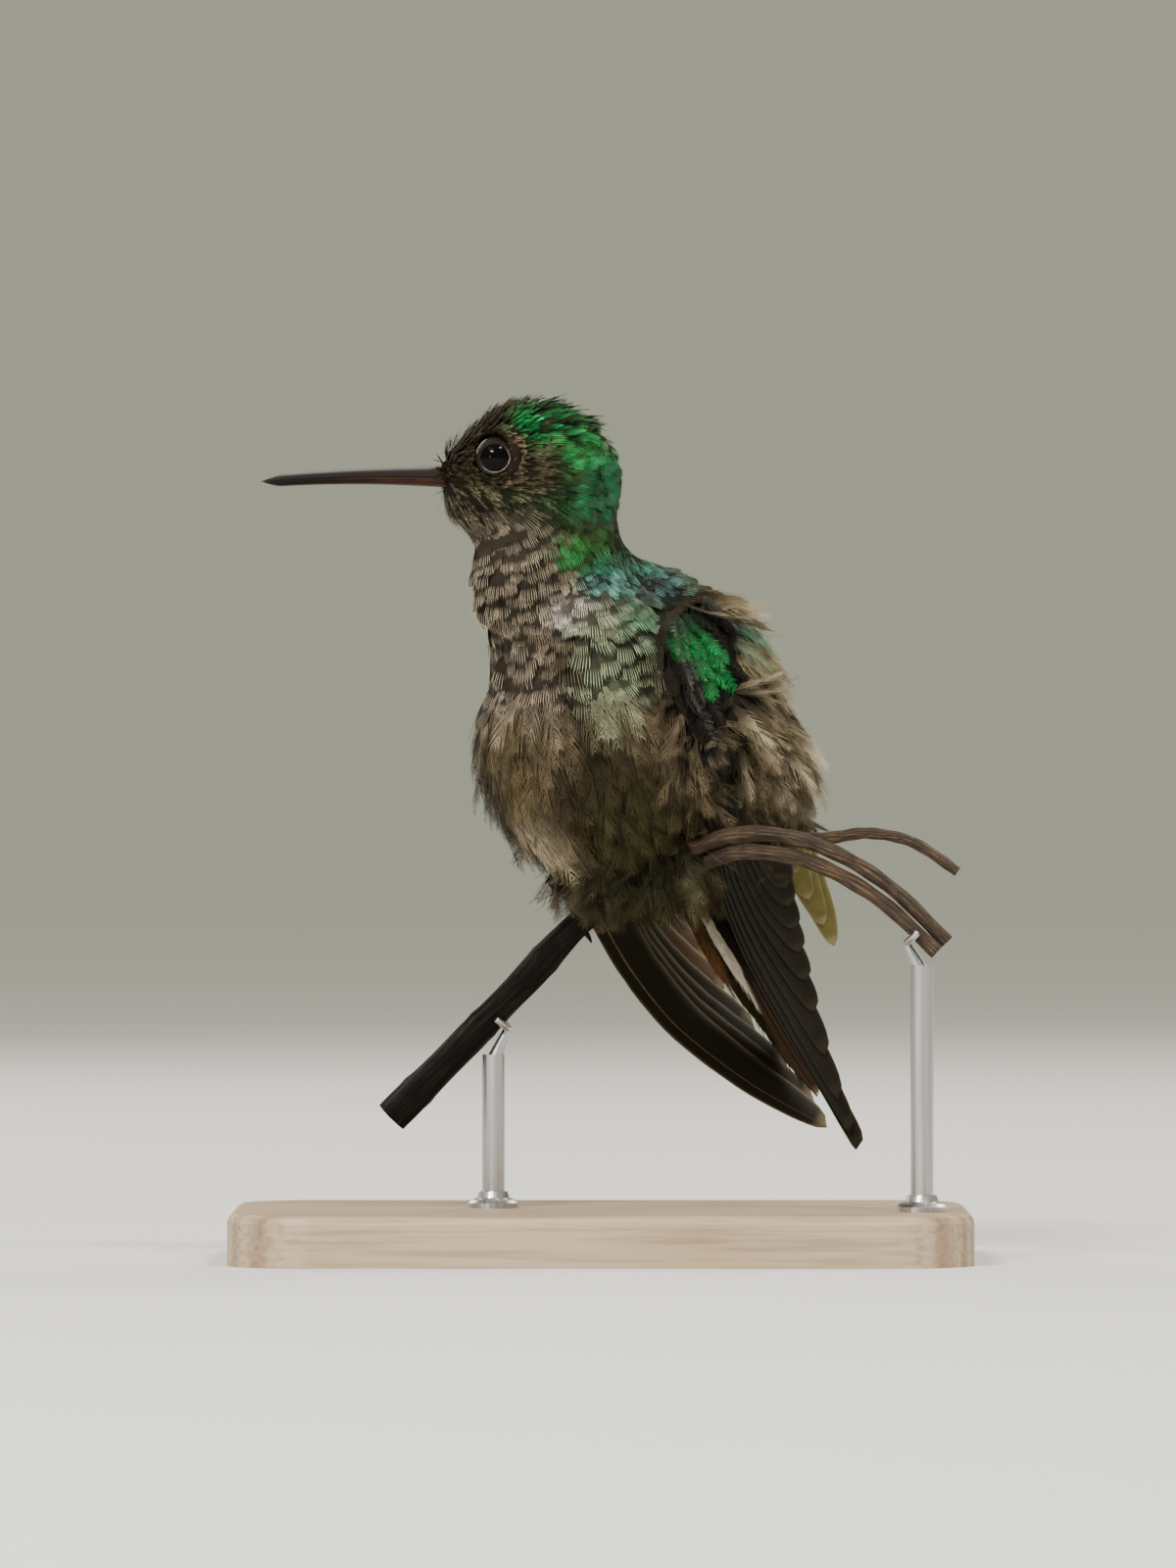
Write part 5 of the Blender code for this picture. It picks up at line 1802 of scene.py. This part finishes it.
def stage():
    corners = np.array(((-1, -1, 0), (1, -1, 0), (1, 1, 0), (-1, 1, 0))) * FLOOR_HALF
    mesh_from("floor", (corners, [(0, 1, 2, 3)], None), floor_look())
    bpy.context.scene.world = studio_sky()
    for name, plan in LIGHTS.items():
        area_light(name, *plan)
    data = bpy.data.cameras.new("view")
    data.lens = VIEW_LENS
    data.clip_start, data.clip_end = VIEW_CLIP
    camera = placed("view", data, VIEW_FROM)
    camera.rotation_euler = (math.pi / 2, 0.0, 0.0)
    bpy.context.scene.camera = camera


TWIG_BARK = (0.001, 0.0008, 0.0005), (0.004, 0.003, 0.0018), (0.022, 0.015, 0.009), 14.0, 0.12
# The vine's last number sets how far the painted shade reaches along each stem from its start.
VINE_BARK = (0.007, 0.004, 0.002), (0.048, 0.028, 0.013), (0.25, 0.165, 0.095), 9.0, 0.4, 0.14
# The upper bill's third colour is its painted highlight along the culmen.
UPPER_HORN = (0.005, 0.004, 0.003), (0.016, 0.011, 0.008), (0.19, 0.165, 0.16)
LOWER_HORN = (0.006, 0.003, 0.002), (0.070, 0.024, 0.010)


def build_skin():
    points, quads = build_skin_arrays()
    # The skin shows the markings darkened nearly to black: the dark bases of the feathers, and
    # painted shade where it shows between them.
    colour = blend(markings(points)[0] * 0.09, DUSK, 0.4)
    corners = bake_place(points[quads.ravel()]).reshape(-1, 4, 2)
    wrapped = corners[..., 0].max(axis=1, keepdims=True) - corners[..., 0] > 0.45
    corners[..., 0] += np.where(wrapped, BAKE_SIZE[0], 0.0)
    shape, bake = (points, quads, None), corners.reshape(-1, 2)
    show(mesh_from("skin", shape, skin_look(), colour, bake=bake), "plumage_grey", *FLESH)
    return points, vertex_normals(points, quads), quads


def build():
    grow_coat(*build_skin())
    vanes = plumage("plumage_flight", barbs=110.0, rough=(0.6, 0.42), variety=0.15)
    covert = plumage("plumage_covert", barbs=26.0, rough=(0.6, 0.3), variety=0.2)
    for side, name in WINGS.items():
        build_primaries(side, name, vanes)
        build_secondaries(side, name, vanes)
        build_wing_coverts(side, name, covert)
    build_tail(1, "left", vanes)
    build_tail(-1, "right", vanes)
    build_undertail(plumage("plumage_undertail", barbs=40.0, variety=0.2))
    eye, lids = eye_look(), lid_look()
    for side, name in SIDES.items():
        build_eyeball(side, name, eye)
        build_eyelid(side, name, lids)
    build_bill(1, horn_look("bill_horn", *UPPER_HORN))
    build_bill(-1, horn_look("bill_horn_reddish", *LOWER_HORN))
    leg, claw = leg_look(), claw_look()
    for name in FEET:
        build_leg(name, leg, claw)
    build_perch(bark_look("twig_bark", *TWIG_BARK), bark_look("vine_bark", *VINE_BARK))
    steel = steel_look()
    dress_stand(wood_look(), steel)
    collars(steel)
    cradles(steel)
    stage()


build()
